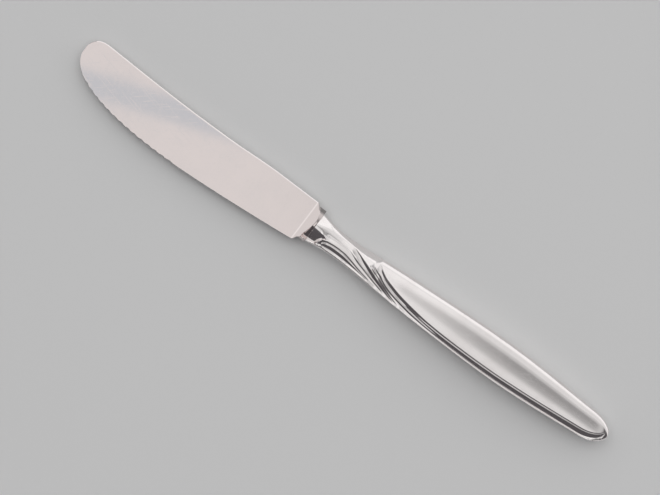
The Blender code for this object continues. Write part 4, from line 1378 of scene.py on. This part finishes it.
# tarnish and painted shade: the deeper a point lies, the darker and browner its colour
tarnish_and_shade = ramp(tree, attribute(tree, "recess"), *TARNISH_AND_SHADE_DEPTHS)
tint = blend(tree, clouds, SILVER, SILVER_CLOUDED)
colour = blend(tree, tarnish_and_shade, tint, SILVER_TARNISH_AND_SHADE)
polish = math_node(tree, "ADD", mapped(tree, clouds, *SILVER_POLISH), mapped(tree, lines, 0.0, CLOTH_DULLS))
polish = math_node(tree, "ADD", polish, mapped(tree, tarnish_and_shade, 0.0, TARNISH_DULLS))
set_surface(tree, shader, colour, polish, math_node(tree, "SUBTRACT", clouds, lines), SILVER_BUMP)
print("silver plate:", len(tree.nodes), "nodes")

# %% [markdown]
# ## Solder and cement
# The solder line is a little yellower and duller than the plate, so it has the same effects with other
# values. The cement inside the handle is hidden, but it is part of the frame: a gritty, brown mass.

# %% Solder
SOLDER = (0.80, 0.76, 0.70, 1)
SOLDER_CLOUDED = (0.66, 0.62, 0.56, 1)
SOLDER_POLISH = (0.20, 0.38)
SOLDER_BUMP = 0.000004
solder = bpy.data.materials.new("silver_solder")
tree, shader, place = start_material(solder, 1.0)
lines = effect(tree, hairlines, Vector=place, Stretch=(200, 9000, 9000), Turn=0.0)
clouds = effect(tree, haze, Vector=place, Size=0.002)
colour = blend(tree, clouds, SOLDER, SOLDER_CLOUDED)
relief_height = math_node(tree, "SUBTRACT", clouds, lines)
set_surface(tree, shader, colour, mapped(tree, clouds, *SOLDER_POLISH), relief_height, SOLDER_BUMP)
print("solder:", len(tree.nodes), "nodes")

# %% Cement
CEMENT = (0.46, 0.41, 0.36, 1)
CEMENT_DARK = (0.30, 0.26, 0.22, 1)
CEMENT_GRAIN = (0.60, 0.56, 0.50, 1)
GRAIN_LEVELS = (0.55, 0.70)
CEMENT_ROUGHNESS = (0.75, 0.95)
CEMENT_BUMP = 0.0001
cement = bpy.data.materials.new("handle_cement")
tree, shader, place = start_material(cement, 0.0)
grit = noise(tree, place, Scale=2500.0, Detail=5.0)
tint = blend(tree, effect(tree, haze, Vector=place, Size=0.004), CEMENT, CEMENT_DARK)
colour = blend(tree, ramp(tree, grit, *GRAIN_LEVELS), tint, CEMENT_GRAIN)
set_surface(tree, shader, colour, mapped(tree, grit, *CEMENT_ROUGHNESS), grit, CEMENT_BUMP)
print("cement:", len(tree.nodes), "nodes")

# %% [markdown]
# ## Join the pieces to the frame
# Each new piece rides on the part's one body, takes the place of its CAD node and gets its material. The
# filling has no finer version: its CAD node stays and gets the cement.

# %% Join the pieces to the frame
for piece, node, slot, material in (
    (front_shell, "front_handle_shell", "silver_plate", silver),
    (back_shell, "back_handle_shell", "silver_plate", silver),
    (seam, "brazed_seam", "silver_solder", solder),
    (blade, "blade", "blade_steel", steel),
):
    piece.data.materials.clear()
    piece.data.materials.append(material)
    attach(piece, "root")
    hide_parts(node)
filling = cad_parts["handle_filling"]
filling.data.materials.clear()
filling.data.materials.append(cement)
print("pieces:", [piece.name for piece in (front_shell, back_shell, seam, blade)], "and", filling.name)

# %% [markdown]
# ## Floor
# The knife rests on two places, the collar and the handle's belly, so it lies a little tilted. The pieces
# could be turned to lie on a level floor, but they belong to the frame. So the floor is laid under them: of
# all lines that touch the pieces from below, the one that spans the balance point.

# %% Find the floor
BALANCE_X = 0.015


def resting_line(pieces, balance):
    """Height at the balance point and slope of the line on which the pieces rest, seen from the side."""
    points = np.array([v.co for piece in pieces for v in piece.data.vertices])[:, ::2]
    lower = []
    for point in points[np.lexsort((points[:, 1], points[:, 0]))]:
        while len(lower) > 1:
            (ax, az), (bx, bz) = lower[-1] - lower[-2], point - lower[-2]
            if ax * bz - az * bx > 0:
                break
            lower.pop()
        lower.append(point)
    after = next(i for i, point in enumerate(lower) if point[0] > balance)
    (x, z), (end_x, end_z) = lower[after - 1], lower[after]
    slope = (end_z - z) / (end_x - x)
    return z + slope * (balance - x), slope


floor_z, floor_slope = resting_line((front_shell, back_shell, blade), mouth[0] + BALANCE_X)
print("floor tilts by", round(math.degrees(math.atan(floor_slope)), 2), "degrees")

# %% [markdown]
# The floor itself is pale paper, so large that its edge is never seen. It is part of the stage, not of the
# knife, and its fibres are a fine noise in colour and height.


# %% Lay the floor
def grey(level):
    return (level, level, level, 1)


FLOOR_RADIUS = 4.0
FLOOR_SIDES = 128
FLOOR_LIGHT = grey(0.745)
FLOOR_DARK = grey(0.735)
PAPER_ROUGHNESS = 0.9
PAPER_BUMP = 0.00002
bpy.ops.mesh.primitive_circle_add(vertices=FLOOR_SIDES, radius=FLOOR_RADIUS, fill_type="NGON")
floor = bpy.context.object
floor.name = "floor"
floor.rotation_euler = (0, -math.atan(floor_slope), 0)
floor.location = (mouth[0] + BALANCE_X, 0, floor_z)
paper = bpy.data.materials.new("pale_paper")
tree, shader, place = start_material(paper, 0.0)
fibres = noise(tree, place, Scale=900.0, Detail=4.0)
set_surface(tree, shader, blend(tree, fibres, FLOOR_LIGHT, FLOOR_DARK), PAPER_ROUGHNESS, fibres, PAPER_BUMP)
floor.data.materials.append(paper)
print("floor:", FLOOR_RADIUS * 2, "m across")

# %% [markdown]
# ## Camera
# The photo is taken straight from above, with the knife turned across the picture. The camera could be placed
# by eye, but its lens follows from three numbers: the sensor's width, the distance, and the width of the
# floor that the picture shows.

# %% Camera
CAMERA_TURN = math.radians(37.25)
CAMERA_DISTANCE = 0.55
CAMERA_X = 0.0076854
CAMERA_Y = -0.0019813
VIEW_WIDTH = 0.2079
SENSOR = 36.0
camera_data = bpy.data.cameras.new("camera")
camera_data.sensor_width = SENSOR
camera_data.lens = SENSOR * CAMERA_DISTANCE / VIEW_WIDTH
camera = bpy.data.objects.new("camera", camera_data)
camera.location = Vector(mouth) + Vector((CAMERA_X, CAMERA_Y, CAMERA_DISTANCE))
camera.rotation_euler = (0, 0, CAMERA_TURN)
bpy.context.scene.collection.objects.link(camera)
bpy.context.scene.camera = camera
print("lens:", round(camera_data.lens, 1), "mm")

# %% [markdown]
# ## Light
# Silver shows what stands round it, so the studio matters as much as the metal. It could be built of lit
# boards, but in the world's shader a board is only a mask. The world is a light room with panels: bright
# sheets over the blade and at its tip, a bright strip for the crease, a bright wall on the spine side, black
# cards on the edge side and round the tail, the grey camera with its stand over the handle, and a bluish
# beam that draws a band across the blade. A panel is a soft rectangle on a flat ceiling one unit above the
# knife, so its place is a direction divided by its height. Each panel covers the ones before it.

# %% Studio panels
BLACK_CARD = (0.085, 0.08, 0.085, 1)
BLUISH = (0.71, 0.775, 0.83, 1)
PANELS = (
    # name, centre along and up, half size along and up, turn in degrees, softness, colour
    ("studio", (0.0, 0.0), (60.0, 60.0), 0, 0.1, grey(0.74)),
    ("tip_side", (-3.6, 0.2), (2.6, 1.2), 0, 0.05, grey(0.88)),
    ("over_blade", (-0.6, 0.2), (0.61, 0.9), 0, 0.08, grey(0.92)),
    ("crease_strip", (-0.75, 0.3), (0.16, 0.8), 0, 0.3, grey(1.0)),
    ("spine_side", (0.0, 31.4), (60.0, 30.0), 0, 0.02, grey(1.0)),
    ("tail_side", (0.8, -1.0), (0.45, 0.6), 0, 0.15, grey(0.07)),
    ("tail_low", (3.1, -0.95), (2.25, 1.42), 0, 0.1, BLACK_CARD),
    ("edge_side", (-0.3, -30.68), (1.3, 30.0), 0, 0.003, BLACK_CARD),
    ("lobe_side", (-1.0, -0.75), (0.6, 0.45), 0, 0.1, BLACK_CARD),
    ("camera_halo", (0.44, 0.17), (0.40, 0.25), 0, 0.3, grey(0.56)),
    ("camera_gap", (0.335, 0.115), (0.285, 0.125), 0, 0.4, grey(0.32)),
    ("ceiling_beam", (-0.1473, -0.0569), (0.07, 0.0072), 20, 0.35, BLUISH),
)
LOWEST_VIEW = 0.01


def panel_mask(tree, ceiling, name, centre, half_size, turn, soft):
    """1 on a soft rectangle of the ceiling, 0 beside it."""
    placing = {
        "Vector": ceiling,
        "Location": (*centre, 0),
        "Rotation": (0, 0, math.radians(turn)),
        "Scale": (*half_size, 1),
    }
    placed = add(tree, "ShaderNodeMapping", placing, vector_type="TEXTURE", label=name).outputs[0]
    apart = add(tree, "ShaderNodeSeparateXYZ", {0: placed}).outputs
    shares = [ramp(tree, math_node(tree, "ABSOLUTE", apart[axis]), 1 + soft, 1 - soft) for axis in "XY"]
    return math_node(tree, "MULTIPLY", *shares)


world = bpy.data.worlds.new("studio")
bpy.context.scene.world = world
world.use_nodes = True
tree = world.node_tree
tree.nodes.clear()
way = add(tree, "ShaderNodeTexCoord").outputs["Generated"]
high = math_node(tree, "MAXIMUM", add(tree, "ShaderNodeSeparateXYZ", {0: way}).outputs["Z"], LOWEST_VIEW)
all_high = add(tree, "ShaderNodeCombineXYZ", {"X": high, "Y": high, "Z": high}).outputs[0]
ceiling = vector_node(tree, "DIVIDE", way, all_high)
light = grey(0.0)
for *panel, colour in PANELS:
    light = blend(tree, panel_mask(tree, ceiling, *panel), light, colour)
background = add(tree, "ShaderNodeBackground", {"Color": light})
add(tree, "ShaderNodeOutputWorld", {"Surface": background.outputs[0]})
bpy.context.scene.view_settings.view_transform = "Standard"
print("studio panels:", [name for name, *_ in PANELS])

# %% [markdown]
# One long soft lamp hangs over the knife, a little to the spine side. It gives the shadow under the blade and
# the handle, and is kept out of the reflections, because the panels stand for it there.

# %% Lamp
LAMP_SIZE = (1.3, 0.4)
LAMP_PLACE = (0.0, 0.22, 0.70)
LAMP_POWER = 0.62
lamp_data = bpy.data.lights.new("window", "AREA")
lamp_data.shape = "RECTANGLE"
lamp_data.size, lamp_data.size_y = LAMP_SIZE
lamp_data.energy = LAMP_POWER
lamp = bpy.data.objects.new("window", lamp_data)
lamp.location = LAMP_PLACE
lamp.rotation_euler = (-math.atan2(LAMP_PLACE[1], LAMP_PLACE[2]), 0, 0)
lamp.visible_glossy = False
bpy.context.scene.collection.objects.link(lamp)
print("lamp at", LAMP_PLACE)
